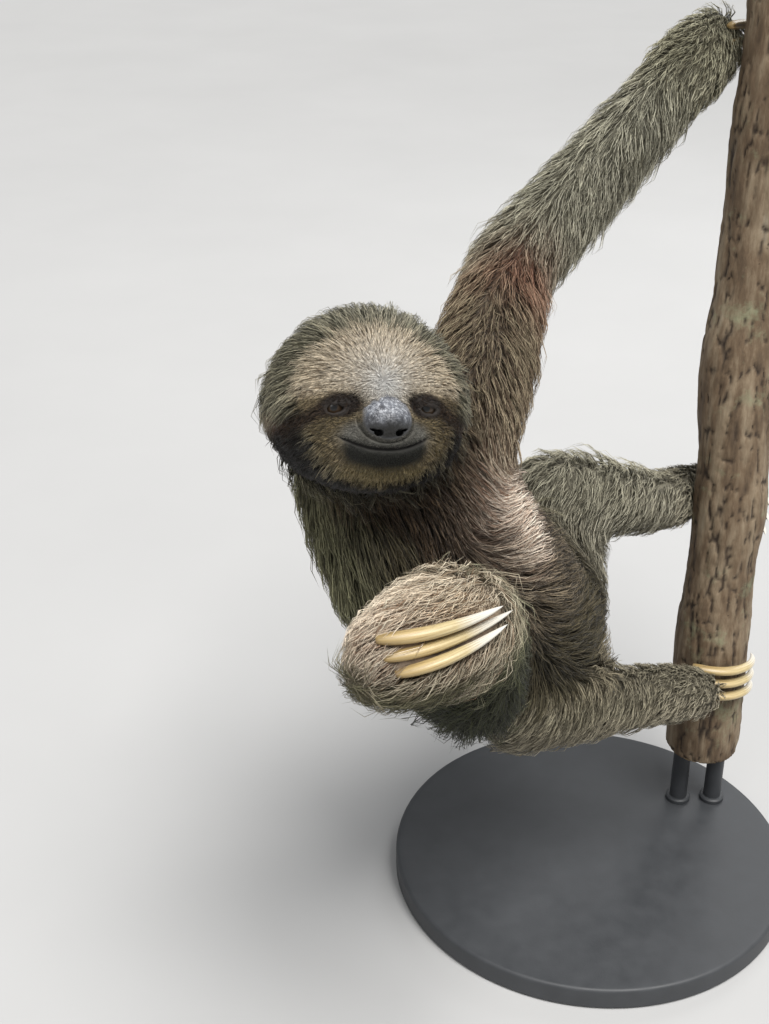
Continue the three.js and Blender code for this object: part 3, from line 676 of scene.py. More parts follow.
def head_style(p):
    """Styles over the head: the pale mask, dark eye stripes, grey muzzle, hood and dark ruff, with painted
    shade on the far cheek and under the ear.
    """
    m = mirrored(p)
    x, y, z = m.T
    rows = np.tile(REGION_STYLES["head"], (len(p), 1))

    def lay(weight, row):
        nonlocal rows
        rows = mix(rows, row, np.clip(weight, 0.0, 1.0)[:, None])

    def trim(weight, length, lift):
        rows[:, LENGTH] = mix(rows[:, LENGTH], length, weight)
        rows[:, LIFT] = mix(rows[:, LIFT], lift, weight)

    wobble = 1.6 * noise(p * MM, 7 * MM, 3) + 0.8 * noise(p * MM, 3 * MM, 4)
    away = np.hypot(x, y + 10)
    crown = smoothstep(20, 34, y) * smoothstep(-25, 5, z)
    lay(0.7 * crown, style(27, 6.5, 0.42, 2.2, 0.18, 115, 0.6, (84, 82, 64), (182, 178, 160)))
    low = 1 - smoothstep(-14, -4, y + 0.3 * (x - 40))
    rim = smoothstep(38, 43, x) * low
    lay(0.85 * rim, style(20, 6.0, 0.42, 2.2, 0.2, 112, 0.25, (28, 25, 16), (104, 100, 80)))
    ruff = smoothstep(31, 35, x + wobble) * (1 - smoothstep(42, 46, x + 0.5 * wobble))
    ruff = ruff * low * smoothstep(-16, -4, z)
    ruff = np.maximum(ruff, (1 - smoothstep(-39, -35, y + wobble)) * smoothstep(-24, -6, z))
    lay(ruff, style(13, 4.6, 0.45, 1.5, 0.25, 120, 0.05, (11, 8, 5), (36, 28, 19)))
    lower_edge = smoothstep(-2, -14, y)
    mask_edge = np.hypot(x / mix(36.5, 33.0, lower_edge), (y + 8) / np.where(y > -8, 35.0, 33.0))
    below_mask = smoothstep(0.97, 1.05, mask_edge + 0.03 * wobble) * (1 - smoothstep(-18, -11, y))
    below_mask *= (1 - smoothstep(40, 45, x + 0.5 * wobble)) * smoothstep(-24, -6, z)
    jaw = smoothstep(26, 34, x) * (1 - smoothstep(-20, -8, y))
    trim(jaw, 13.0, 3.6)
    lay(below_mask, style(12, 4.0, 0.42, 1.4, 0.25, 125, 0.05, (11, 8, 5), (36, 28, 19)))
    mask = (1 - smoothstep(0.9, 1.04, mask_edge + 0.03 * wobble)) * smoothstep(-6, 4, z)
    lay(mask, style(7, 2.2, 0.27, 0.9, 0.2, 300, 0.6, (92, 80, 58), (164, 148, 116)))
    brow = mask * smoothstep(-5, 4, y)
    lay(brow, style(9, 2.2, 0.27, 0.8, 0.16, 310, 0.85, (150, 134, 112), (226, 215, 196)))
    far_brow = mask * smoothstep(16, 30, np.hypot(x, y)) * smoothstep(-4, 6, y)
    lay(0.8 * far_brow, style(18, 4.2, 0.34, 1.8, 0.2, 190, 0.72, (118, 100, 74), (222, 208, 182)))
    middle = mask * blob((x, 10), (y - 2, 12))
    lay(middle, style(4, 1.3, 0.25, 0.3, 0.1, 380, 0.9, (136, 134, 130), (214, 213, 210)))
    chin = mask * (1 - smoothstep(-36, -30, y))
    lay(chin, style(6, 2.0, 0.3, 1.0, 0.2, 270, 0.65, (104, 91, 60), (176, 160, 118)))
    cheek = mask * (1 - smoothstep(-14, -8, y)) * smoothstep(17, 25, x)
    lay(0.85 * cheek, style(6.5, 2.2, 0.3, 1.0, 0.2, 270, 0.45, (70, 60, 42), (140, 126, 94)))
    under_eye = mask * blob((x - 20, 10), (y + 14.5, 4.5))
    lay(0.8 * under_eye, style(4, 1.6, 0.27, 0.5, 0.2, 300, 0.4, (58, 50, 34), (122, 108, 78)))
    # Painted shade on the far cheek only: a darker style for one side of the face.
    far_cheek_shade = mask * (p[:, 0] > 0) * smoothstep(24, 31, x) * (1 - smoothstep(-8, 4, y))
    lay(0.85 * far_cheek_shade, style(6, 2.2, 0.3, 1.0, 0.2, 270, 0.3, (44, 36, 26), (100, 86, 62)))
    near = mask * (1 - smoothstep(12, 32, away))
    trim(near, 2.2 + 0.20 * np.maximum(away - 10, 0), 0.8 + 0.06 * np.maximum(away - 10, 0))
    round_eye = np.hypot((x - 20.0) / 15.0, (y + 6.6) / 12.0)
    by_eye = mask * (1 - smoothstep(0.7, 1.1, round_eye))
    trim(by_eye, 3.2, 1.1)
    eye = np.hypot((x - 19.6) / 10.4, (y + 6.8 + 0.12 * (x - 19.6)) / 6.2)
    patch = 1 - smoothstep(0.72, 1.18, eye + 0.05 * wobble)
    lay(patch * mask, style(2.4, 0.8, 0.26, 0.2, 0.15, 330, 0.12, (26, 19, 14), (62, 47, 36)))
    along = smoothstep(24, 29, x) * (1 - smoothstep(36, 44, x))
    stripe = blob((y + 8.5 + 0.36 * (x - 24), 4.0)) * along
    lay(1.1 * stripe, style(5, 1.8, 0.32, 0.5, 0.2, 240, 0.15, (36, 26, 18), (84, 66, 48)))
    inner = blob((x - 13.0, 2.6), (y + 3.6, 3.0))
    lay(0.7 * inner * mask, style(2.2, 0.8, 0.26, 0.2, 0.15, 330, 0.1, (26, 20, 16), (58, 48, 40)))
    muzzle = (1 - smoothstep(0.75, 1.15, np.hypot(x / 21.0, (y + 22) / 10.5))) * smoothstep(20, 28, z)
    lay(muzzle, style(1.8, 0.5, 0.22, 0.1, 0.1, 430, 0.5, (64, 62, 56), (114, 112, 104)))
    side = muzzle * smoothstep(11, 15, x) * smoothstep(-24, -20, y)
    lay(0.7 * side, style(2.0, 0.6, 0.22, 0.1, 0.1, 430, 0.7, (92, 90, 84), (150, 148, 140)))
    line = y - mouth_height(x)
    lips = np.exp(-(((line + 4.0) / 4.6) ** 4)) * (1 - smoothstep(15, 21, x)) * smoothstep(22, 28, z)
    lay(1.1 * lips, style(1.6, 0.45, 0.22, 0.1, 0.1, 430, 0.12, (23, 23, 18), (50, 50, 41)))
    upper_lip = blob((line - 1.6, 1.8)) * (1 - smoothstep(14, 20, x)) * smoothstep(26, 32, z)
    lay(0.8 * upper_lip, style(1.2, 0.35, 0.2, 0.1, 0.1, 430, 0.3, (62, 61, 56), (104, 103, 96)))
    ear = blob((x - 44, 4.5), (y + 11, 6), (z - 8, 9))
    lay(ear, style(7, 2.6, 0.36, 0.8, 0.3, 150, 0.4, (116, 84, 70), (172, 146, 126)))
    # Dark hair under the ear, deepened to near black as painted shade in the hollow there.
    ear_hollow_shade = blob((x - 43, 4.0), (y + 20, 5.5), (z - 8, 10))
    lay(1.2 * ear_hollow_shade, style(8, 3.0, 0.4, 0.8, 0.3, 120, 0.05, (14, 10, 7), (40, 30, 22)))
    bare = np.maximum(np.maximum(nose_share(p), lid_share(p)), 1.2 * lip_share(p))
    rows[:, DENSITY] *= 1 - smoothstep(0.25, 0.55, bare)
    rows[:, LENGTH] *= 1 - 0.4 * bare
    return rows


def nose_share(p):
    """1 on the bare pad of the nose and the foot of its bridge."""
    m = mirrored(p)
    pad = np.hypot(m[:, 0] / 11.6, (m[:, 1] + 13.4) / np.where(m[:, 1] > -13.4, 10.8, 9.4))
    pad += 0.12 * noise(p * MM, 2.2 * MM, 33) * smoothstep(-13, -6, m[:, 1])
    return (1 - smoothstep(0.84, 1.04, pad)) * smoothstep(30, 35, m[:, 2])


def lid_share(p):
    """1 on the bare rims of the eyelids."""
    m = mirrored(p)
    ring = np.hypot((m[:, 0] - EYE_AT[0]) / 5.2, (m[:, 1] + 8.1) / 3.1)
    return (1 - smoothstep(0.9, 1.1, ring)) * smoothstep(28, 30, m[:, 2])


def lip_share(p):
    """1 in the groove of the mouth and on the thin bare edge of the lips."""
    line = p[:, 1] - mouth_height(p[:, 0])
    edge = blob((line, 0.95)) * (1 - smoothstep(19, 22, np.abs(p[:, 0])))
    return edge * smoothstep(20, 24, p[:, 2])


def spots(points, *places):
    """1 at each of the places, falling away to nothing over its radius, all in millimetres."""
    total = 0.0
    for centre, radius in places:
        total = total + blob((np.linalg.norm(points / MM - np.array(centre, float), axis=1), radius))
    return np.clip(total, 0, 1)


def body_markings(rows, points, normals, region):
    """Broad changes of colour over the body: dark throat, greener back, a painted sunlit patch on the flank,
    and painted shade low on the trunk, at the side, under the fist and on the forearm below it.
    """

    def tint(weight, dark_tone, pale_tone):
        rows[:, DARK] = mix(rows[:, DARK], linear(*dark_tone), weight[:, None])
        rows[:, PALE] = mix(rows[:, PALE], linear(*pale_tone), weight[:, None])

    def within(*names):
        return np.isin(region, [REGION_NAMES.index(name) for name in names])

    trunk = within("trunk", "neck")
    belly = smoothstep(-0.1, 0.7, normals @ BELLY_WAY)
    height = points[:, 2] / MM
    tint(trunk * smoothstep(0.1, -0.6, normals @ BELLY_WAY), (68, 63, 48), (158, 152, 128))
    # Painted shade: the trunk is darker towards the bottom.
    tint(0.8 * trunk * (1 - smoothstep(235, 285, height)), (24, 22, 13), (84, 79, 57))
    tint(trunk * belly * smoothstep(290, 345, height), (38, 29, 21), (96, 78, 57))
    arm = within("upper_arm_right")
    inner_side = smoothstep(-0.1, 0.8, normals @ unit(np.array([0.8, -0.4, 0.2])))
    tint(0.85 * arm * inner_side, (36, 29, 21), (96, 84, 62))
    # A painted sunlit patch on the flank: paler colours and more pale hairs.
    sunlit_flank = spots(points, ((-77, -119, 354), 23), ((-69, -115, 331), 20), ((-61, -110, 309), 14))
    tint(sunlit_flank, (176, 138, 112), (250, 238, 222))
    shade_side = spots(points, ((-34, -82, 300), 22), ((-24, -70, 262), 22))
    tint(0.8 * shade_side, (40, 33, 25), (106, 94, 76))
    rows[:, SHARE] = np.clip(rows[:, SHARE] + 0.45 * sunlit_flank, 0, 1)
    # The warm orange part of the painted sunlit patch on the flank.
    warm_sunlight = spots(points, ((-60, -116, 338), 9), ((-50, -106, 296), 9))
    tint(0.7 * warm_sunlight, (122, 70, 46), (186, 132, 100))
    elbow = spots(points, ((-58, 20, 424), 24))
    tint(elbow, (98, 62, 46), (168, 132, 112))
    algae = 0.5 + 0.5 * noise(points, 0.045, 9)
    upper = smoothstep(-0.2, 0.7, normals[:, 2]) * (1 - belly * trunk)
    green = 0.22 * algae * upper
    rows[:, PALE] = mix(rows[:, PALE], linear(132, 136, 98), green[:, None])
    fist = within("hand_right")
    wrist = smoothstep(30, 52, (points / MM - np.array([-139, -265, 348])) @ np.array([0.78, 0.62, 0.0]))
    tint(0.6 * fist * wrist, (104, 94, 76), (212, 206, 188))
    # Painted shade on the underside and the lower part of the fist.
    fist_underside_shade = np.maximum(smoothstep(-0.2, 0.4, normals @ DOWN), 1 - smoothstep(342, 366, height))
    tint(0.95 * fist * fist_underside_shade, (38, 37, 24), (98, 96, 70))
    forearm = within("forearm_right")
    # Painted shade on the right forearm under the fist, darkest towards the elbow.
    tint(0.85 * forearm * (1 - smoothstep(292, 335, height)), (11, 12, 5), (58, 62, 36))
    # The wrist's pale fur, with painted light on its upper side.
    pale_cuff_and_top_light = np.maximum(fist, forearm) * spots(points, ((-106, -246, 372), 26))
    pale_cuff_and_top_light = pale_cuff_and_top_light * smoothstep(-0.3, 0.4, normals[:, 2])
    tint(0.85 * pale_cuff_and_top_light, (140, 118, 92), (238, 226, 204))
    tint(0.8 * spots(points, ((-98, -268, 374), 13)), (164, 122, 86), (230, 200, 160))
    return rows


def dress(skin):
    """Adds the style, the lie and the standing of the coat to the skin."""
    v, n, region, edges = skin["v"], skin["n"], skin["region"], skin["edges"]
    table = np.array([REGION_STYLES[name] for name in REGION_NAMES])
    rows = smoothed(table[skin["style_region"]], edges, STYLE_PASSES)
    lie = unit(lie_of_body(v, n, region))
    rows = body_markings(rows, v, n, region)
    p = to_head(v)
    share = skin["head"][:, None]
    rows = mix(rows, head_style(p), share)
    lie = smoothed(lie - n * (lie * n).sum(1, keepdims=True), edges, LIE_PASSES)
    lie = mix(lie, unit(lie_of_head(p)), share)
    swirl = 0.35 * noise(v, 0.030, 21) + 0.2 * noise(v, 0.012, 22)
    lie = lie - n * (lie * n).sum(1, keepdims=True)
    stand = 1 - smoothstep(0.15, 0.6, np.linalg.norm(lie, axis=1))
    lie = unit(lie)
    turned = np.cross(n, lie)
    lie = unit(lie + turned * (swirl * (1 - 0.6 * skin["head"]))[:, None])
    skin["style"], skin["lie"], skin["stand"] = rows, lie, stand * (1 - skin["head"])


# ------------------------------------------------------------------ coat

GUIDE_STEPS = 6
STRANDS_PER_GUIDE = 6
COAT_LIMIT = 180000  # triangles in one piece
PATCH = 0.003  # size of a hair on the unwrap
FACE_CENTRE, FACE_RADIUS = -8, 38
RING_ANGLES = np.radians([90.0, 210.0, 330.0])
ROOT_SUNK = 0.0006
STRAY_SHARE, STRAY_LIFT = 0.05, 1.4


def scatter(skin, density, count_scale=1.0):
    """Random places on the skin: triangle, weights of its corners."""
    v, t = skin["v"], skin["t"]
    a, b, c = (v[t[:, k]] for k in range(3))
    area = 0.5 * np.linalg.norm(np.cross(b - a, c - a), axis=1) * 1e4
    expected = area * density[t].mean(1) * count_scale
    total = np.cumsum(expected)
    number = int(total[-1])
    places = (np.arange(number) + rng.random(number)) * (total[-1] / number)
    face = np.minimum(np.searchsorted(total, places), len(t) - 1)
    r, s = np.sqrt(rng.random(number)), rng.random(number)
    weights = np.column_stack([1 - r, r * (1 - s), r * s])
    return face, weights


def at(skin, key, face, weights):
    values = skin[key][skin["t"][face]]
    return (values * weights.reshape(len(face), 3, *([1] * (values.ndim - 2)))).sum(1)


def march(skin, tree, starts, normals, lies, lengths, heights, own):
    """Paths of the guides: each follows the lie of the coat over the skin and rises from it.

    Own, from 0 to 1, is how far a guide keeps the way it started in.
    """
    face_lie = unit(skin["lie"][skin["t"]].mean(1))
    paths = np.empty((len(starts), GUIDE_STEPS + 1, 3))
    feet = starts.copy()
    ways = lies.copy()
    ups = normals.copy()
    paths[:, 0] = starts - ups * ROOT_SUNK
    step = lengths / GUIDE_STEPS
    for index in range(1, GUIDE_STEPS + 1):
        aims = feet + ways * step[:, None]
        found = [tree.find_nearest(p) for p in aims.tolist()]
        hits = np.array([f[0] for f in found])
        hit_face = np.array([f[2] for f in found])
        hit_up = np.array([f[1] for f in found])
        free = np.linalg.norm(hits - feet, axis=1) > 1.7 * step
        free |= (hit_up * ups).sum(1) < 0.1
        feet = np.where(free[:, None], aims, hits)
        ups = unit(np.where(free[:, None], ups, 0.5 * ups + 0.5 * hit_up))
        step = np.where(free, 0.55 * step, step)
        target = np.where(free[:, None], ways + 0.25 * DOWN, face_lie[hit_face])
        ways = unit(mix(target, ways, own))
        ways = unit(ways - ups * (ways * ups).sum(1, keepdims=True))
        share = index / GUIDE_STEPS
        rise = math.sin(min(1.0, 1.3 * share) * math.pi / 2) * (1 - 0.25 * max(0.0, share - 0.7) / 0.3)
        paths[:, index] = feet + ups * (heights * rise)[:, None]
    return paths


def sampled(paths, shares):
    """Points of paths at shares from 0 to 1, one row of shares for each path."""
    x = np.clip(shares, 0.0, 1.0) * GUIDE_STEPS
    low = np.minimum(x.astype(int), GUIDE_STEPS - 1)
    t = (x - low)[..., None]
    rows = np.arange(len(paths))[:, None]
    return paths[rows, low] * (1 - t) + paths[rows, low + 1] * t


def make_guides(skin, tree):
    """Paths that the hairs near them follow, with their roots and normals."""
    face, weights = scatter(skin, skin["style"][:, DENSITY], 1.0 / STRANDS_PER_GUIDE)
    roots = at(skin, "v", face, weights)
    normals = unit(at(skin, "n", face, weights))
    lies = unit(at(skin, "lie", face, weights))
    looks = at(skin, "style", face, weights)
    stand = at(skin, "stand", face, weights)
    number = len(roots)
    lengths = looks[:, LENGTH] * MM * rng.uniform(0.8, 1.12, number)
    hanging = 1 + 0.6 * np.maximum(normals @ DOWN, 0) * smoothstep(12, 24, looks[:, LENGTH])
    stray = np.where(rng.random(number) < STRAY_SHARE, STRAY_LIFT, 1.0)
    heights = looks[:, LIFT] * MM * rng.uniform(0.55, 1.05, number) * stray * hanging * (1 + 0.8 * stand)
    turn = np.cross(normals, lies)
    lies = unit(lies + turn * (rng.normal(0, 0.12, number) + 1.5 * stand * rng.normal(0, 1, number))[:, None])
    paths = march(skin, tree, roots, normals, lies, lengths, heights, mix(0.55, 0.97, stand)[:, None])
    finder = KDTree(number)
    for index, root in enumerate(roots.tolist()):
        finder.insert(root, index)
    finder.balance()
    return {"paths": paths, "roots": roots, "normals": normals, "finder": finder}


# Each layer of the coat: its share of the hairs, least and greatest part of the guide's length, width
# against the style's, rings of each hair, and brightness from root to tip.
LAYERS = {
    "under": (0.48, 0.45, 0.72, 1.2, 2, (0.55, 0.85, 1.05)),
    "top": (0.52, 0.75, 1.0, 0.9, 3, (0.6, 0.92, 1.1, 1.18)),
}
SHORT_HAIR = 12.0
FIST_REACH = 0.085
CLAW_CLEARANCE = 3.7 * MM
SHORTENED = 0.4  # part of its length that is left of a hair that would cross a claw


def shortness_of(lengths):
    """1 for the short hairs of the face and 0 for the long ones."""
    return 1 - smoothstep(SHORT_HAIR - 2, SHORT_HAIR + 2, lengths)


def hairs_of(skin, charts, guides, layer):
    """One layer of the coat as arrays, with a row for each hair."""
    part, least, most, wide, rings, shade = LAYERS[layer]
    short = shortness_of(skin["style"][:, LENGTH])
    share = mix(part, 1.0 if layer == "under" else 0.0, short)
    face, weights = scatter(skin, skin["style"][:, DENSITY] * share)
    root = at(skin, "v", face, weights)
    normal = unit(at(skin, "n", face, weights))
    look = at(skin, "style", face, weights)
    guide = np.array([guides["finder"].find(p)[1] for p in root.tolist()])
    keep = (guides["normals"][guide] * normal).sum(1) > 0.3
    face, root, normal, look, guide = face[keep], root[keep], normal[keep], look[keep], guide[keep]
    number = len(root)
    shortness = shortness_of(look[:, LENGTH])
    grown = mix(rng.uniform(least, most, number), rng.uniform(0.75, 1.0, number), shortness)
    steps = np.linspace(0.0, 1.0, rings + 1)
    points = sampled(guides["paths"][guide], steps[None, :] * grown[:, None])
    offset = root - guides["roots"][guide]
    clump = np.clip(look[:, CLUMP] * rng.uniform(0.5, 1.4, number), 0, 0.95)
    points = points + offset[:, None, :] * (1.0 - clump[:, None] * steps[None, :] ** 1.2)[..., None]
    way = unit(points[:, -1] - points[:, 0])
    side = unit(np.cross(normal, way))
    curl = look[:, CURL] * MM * rng.uniform(0.3, 1.25, number)
    phase = rng.uniform(0, 2 * math.pi, number)
    waves = rng.uniform(0.35, 0.9, number)
    bend = phase[:, None] + 2 * math.pi * waves[:, None] * steps[None, :]
    swing = curl[:, None] * steps[None, :] * np.sin(bend)
    lift = 0.5 * curl[:, None] * steps[None, :] * np.cos(bend)
    points = points + swing[..., None] * side[:, None, :]
    points = points + np.maximum(lift, -0.2 * MM)[..., None] * normal[:, None, :]

    radius = 0.5 * wide * look[:, WIDTH] * MM * rng.uniform(0.7, 1.25, number)
    pale_share = mix(look[:, SHARE] * (0.35 if layer == "under" else 1.35), look[:, SHARE], shortness)
    pale = rng.random(number) < pale_share
    tone = np.where(pale[:, None], look[:, PALE], look[:, DARK])
    other = np.where(pale[:, None], look[:, DARK], look[:, PALE])
    tone = mix(tone, other, rng.uniform(0.0, 0.5, number)[:, None])
    tone = tone * rng.uniform(0.8, 1.2, number)[:, None]
    shade = mix(np.array(shade)[None, :], np.array(shade)[None, :] ** 0.35, shortness[:, None])
    colour = np.clip(tone[:, None, :] * shade[..., None], 0.0, 1.0)
    region = skin["region"][skin["t"][face][:, 0]]
    place = np.zeros((number, 2))
    for index, chart in charts.items():
        mine = region == index
        if mine.any():
            place[mine] = charted(chart_plane(root[mine], index), chart)
    s = {
        "points": points, "radius": radius, "colour": colour, "place": place, "region": region,
        "root": root, "normal": normal,
    }
    clear = clear_of_claws(s)
    return {key: value[clear] for key, value in s.items()}


def clear_of_claws(s):
    """Shortens the hairs that cross the folded claws; false for those that still cross them."""
    clear = np.ones(len(s["root"]), bool)
    hand = np.flatnonzero(np.linalg.norm(s["root"] - FIST_END, axis=1) < FIST_REACH)
    path = np.vstack(folded_claw_paths(0.16))
    tree = KDTree(len(path))
    for index, point in enumerate(path.tolist()):
        tree.insert(point, index)
    tree.balance()

    def crosses(points):
        samples = np.vstack([points, (points[:-1] + points[1:]) / 2])
        return min(tree.find(q)[2] for q in samples.tolist()) < CLAW_CLEARANCE

    for index in hand:
        points = s["points"][index]
        if crosses(points):
            points = s["root"][index] + SHORTENED * (points - s["root"][index])
            s["points"][index] = points
            clear[index] = not crosses(points)
    return clear


def tufts_mesh(s):
    """Three-sided tapering hairs, each closed at its root and its tip."""
    points, number = s["points"], len(s["points"])
    rings = points.shape[1] - 1
    tangents = unit(np.gradient(points, axis=1))
    side = unit(np.cross(tangents, s["normal"][:, None, :]) + 1e-9)
    up = np.cross(side, tangents)
    taper = np.interp(np.arange(rings) / rings, [0, 0.34, 0.67, 1.0], [0.75, 1.0, 0.74, 0.3])
    r = s["radius"][:, None] * taper[None, :]
    corners = []
    for angle in RING_ANGLES:
        across = math.cos(angle) * r[..., None] * side[:, :rings]
        corners.append(points[:, :rings] + across + 0.8 * math.sin(angle) * r[..., None] * up[:, :rings])
    corners = np.stack(corners, axis=2).reshape(number, 3 * rings, 3)
    vertices = np.concatenate([corners, points[:, rings:]], axis=1)
    faces = [(0, 2, 1)]
    for ring in range(0, 3 * rings - 3, 3):
        for k in range(3):
            a, b = ring + k, ring + (k + 1) % 3
            faces += [(a, b, b + 3), (a, b + 3, a + 3)]
    tip = 3 * rings
    faces += [(tip - 3, tip - 2, tip), (tip - 2, tip - 1, tip), (tip - 1, tip - 3, tip)]
    faces = (np.array(faces)[None] + (tip + 1) * np.arange(number)[:, None, None]).reshape(-1, 3)
    ring_of = np.append(np.repeat(np.arange(rings), 3), rings)
    half = PATCH / 2
    across = np.append(np.tile([-1, 0, 1], rings), 0) * half
    along = (ring_of / rings * 2.0 - 1.0) * half
    uv = np.clip(s["place"][:, None, :] + np.column_stack([across, along])[None], 0.0, 1.0)
    return vertices.reshape(-1, 3), faces, s["colour"][:, ring_of].reshape(-1, 3), uv.reshape(-1, 2)


def triangles_in(rings):
    """Triangles in one hair of so many rings."""
    return 6 * rings - 2


def tufts_object(name, layers):
    """One piece of the coat from the same part of each of its layers."""
    parts = [tufts_mesh(s) for s in layers if len(s["root"])]
    starts = np.cumsum([0] + [len(part[0]) for part in parts[:-1]])
    faces = np.vstack([part[1] + start for part, start in zip(parts, starts)])
    thing = mesh_object(name, np.vstack([part[0] for part in parts]), faces)
    point_colour(thing, "tone", np.vstack([part[2] for part in parts]))
    uv = np.vstack([part[3] for part in parts])
    layer = thing.data.uv_layers.new(name="OFBake")
    layer.data.foreach_set("uv", uv[faces.ravel()].astype(np.float32).ravel())
    return thing


def coat_groups(s):
    """Name of the piece of coat that each hair belongs to."""
    local = to_head(s["root"])
    group = np.array([kind_of(name) for name in REGION_NAMES])[s["region"]].astype(object)
    for index, name in enumerate(REGION_NAMES):
        if kind_of(name) in ("upper_arm", "forearm", "hand"):
            group[s["region"] == index] = "arm_" + name.rsplit("_", 1)[1]
        elif kind_of(name) in ("thigh", "shin", "foot"):
            group[s["region"] == index] = "leg_" + name.rsplit("_", 1)[1]
    off_face = np.hypot(local[:, 0] / FACE_RADIUS, (local[:, 1] - FACE_CENTRE) / FACE_RADIUS)
    front = (s["region"] == HEAD) & (off_face < 1) & (local[:, 2] > 0)
    group[front] = "face"
    group[group == "head"] = "hood"
    group[group == "tail"] = "trunk"
    return group


def make_coat(skin, charts, material):
    tree = BVHTree.FromPolygons(skin["v"].tolist(), skin["t"].tolist())
    guides = make_guides(skin, tree)
    layers = [hairs_of(skin, charts, guides, layer) for layer in LAYERS]
    groups = [coat_groups(s) for s in layers]
    for name in sorted(set(groups[0]) | set(groups[1])):
        mine = [np.flatnonzero(group == name) for group in groups]
        triangles = sum(len(rows) * triangles_in(s["points"].shape[1] - 1) for rows, s in zip(mine, layers))
        parts = max(1, math.ceil(triangles / COAT_LIMIT))
        split = [np.array_split(rows, parts) for rows in mine]
        for part in range(parts):
            label = f"coat_{name}" + (f"_{part + 1}" if parts > 1 else "")
            chosen = [{key: value[rows[part]] for key, value in s.items()} for s, rows in zip(layers, split)]
            piece = tufts_object(label, chosen)
            piece.data.materials.append(material)
            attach(piece, "root")


# ------------------------------------------------------------------ materials


def new_material(name):
    material = bpy.data.materials.new(name)
    material.use_nodes = True
    tree = material.node_tree
    shader = next(node for node in tree.nodes if node.type == "BSDF_PRINCIPLED")
    return material, tree, shader


def add_noise(tree, vector, scale, detail=4.0, rough=0.6):
    node = tree.nodes.new("ShaderNodeTexNoise")
    node.inputs["Scale"].default_value = scale
    node.inputs["Detail"].default_value = detail
    node.inputs["Roughness"].default_value = rough
    if vector is not None:
        tree.links.new(vector, node.inputs["Vector"])
    return node


def add_ramp(tree, value, stops):
    node = tree.nodes.new("ShaderNodeValToRGB")
    ramp = node.color_ramp
    while len(ramp.elements) < len(stops):
        ramp.elements.new(0.5)
    for element, (position, colour) in zip(ramp.elements, stops):
        element.position = position
        element.color = (*colour, 1.0)
    tree.links.new(value, node.inputs["Fac"])
    return node


def add_mix(tree, mode, factor, a, b):
    node = tree.nodes.new("ShaderNodeMix")
    node.data_type = "RGBA"
    node.blend_type = mode
    for socket, value in ((node.inputs["Factor"], factor), (node.inputs[6], a), (node.inputs[7], b)):
        if isinstance(value, bpy.types.NodeSocket):
            tree.links.new(value, socket)
        elif isinstance(value, (int, float)):
            socket.default_value = value
        else:
            socket.default_value = (*value, 1.0)
    return node.outputs[2]


def add_bump(tree, shader, height, strength, distance):
    node = tree.nodes.new("ShaderNodeBump")
    node.inputs["Strength"].default_value = strength
    node.inputs["Distance"].default_value = distance
    tree.links.new(height, node.inputs["Height"])
    tree.links.new(node.outputs["Normal"], shader.inputs["Normal"])
    return node


def add_attribute(tree, name):
    node = tree.nodes.new("ShaderNodeAttribute")
    node.attribute_name = name
    return node


def object_vector(tree):
    return tree.nodes.new("ShaderNodeTexCoord").outputs["Object"]


def grey(value):
    return (value, value, value)


def coat_material():
    material, tree, shader = new_material("coat")
    tone = add_attribute(tree, "tone")
    grain = add_noise(tree, object_vector(tree), 900.0, 3.0)
    ramp = add_ramp(tree, grain.outputs["Fac"], [(0.25, grey(0.72)), (0.75, grey(1.25))])
    colour = add_mix(tree, "MULTIPLY", 1.0, tone.outputs["Color"], ramp.outputs["Color"])
    tree.links.new(colour, shader.inputs["Base Color"])
    shader.inputs["Roughness"].default_value = 0.62
    shader.inputs["Specular IOR Level"].default_value = 0.25
    shader.inputs["Sheen Weight"].default_value = 0.05
    shader.inputs["Sheen Roughness"].default_value = 0.4
    return material


def skin_material():
    material, tree, shader = new_material("skin")
    vector = object_vector(tree)
    tone = add_attribute(tree, "tone")
    bare = add_attribute(tree, "bare")
    nose_sheen = add_attribute(tree, "nose_sheen")
    # White flecks of painted sheen over the top of the nose.
    spots = add_noise(tree, vector, 640.0, 10.0, 0.85)
    spot_ramp = add_ramp(tree, spots.outputs["Fac"], [(0.48, grey(0.0)), (0.64, grey(0.9))])
    factor = add_mix(tree, "MULTIPLY", 1.0, spot_ramp.outputs["Color"], nose_sheen.outputs["Color"])
    colour = add_mix(tree, "MIX", factor, tone.outputs["Color"], linear(214, 217, 223))
    grain = add_noise(tree, vector, 300.0, 6.0)
    ramp = add_ramp(tree, grain.outputs["Fac"], [(0.3, grey(0.7)), (0.7, grey(1.25))])
    colour = add_mix(tree, "MULTIPLY", 1.0, colour, ramp.outputs["Color"])
    tree.links.new(colour, shader.inputs["Base Color"])
    rough = add_ramp(tree, bare.outputs["Fac"], [(0.2, grey(0.85)), (0.8, grey(0.42))])
    tree.links.new(rough.outputs["Color"], shader.inputs["Roughness"])
    cells = tree.nodes.new("ShaderNodeTexVoronoi")
    cells.inputs["Scale"].default_value = 1500.0
    tree.links.new(vector, cells.inputs["Vector"])
    add_bump(tree, shader, cells.outputs["Distance"], 0.5, 0.0004)
    return material


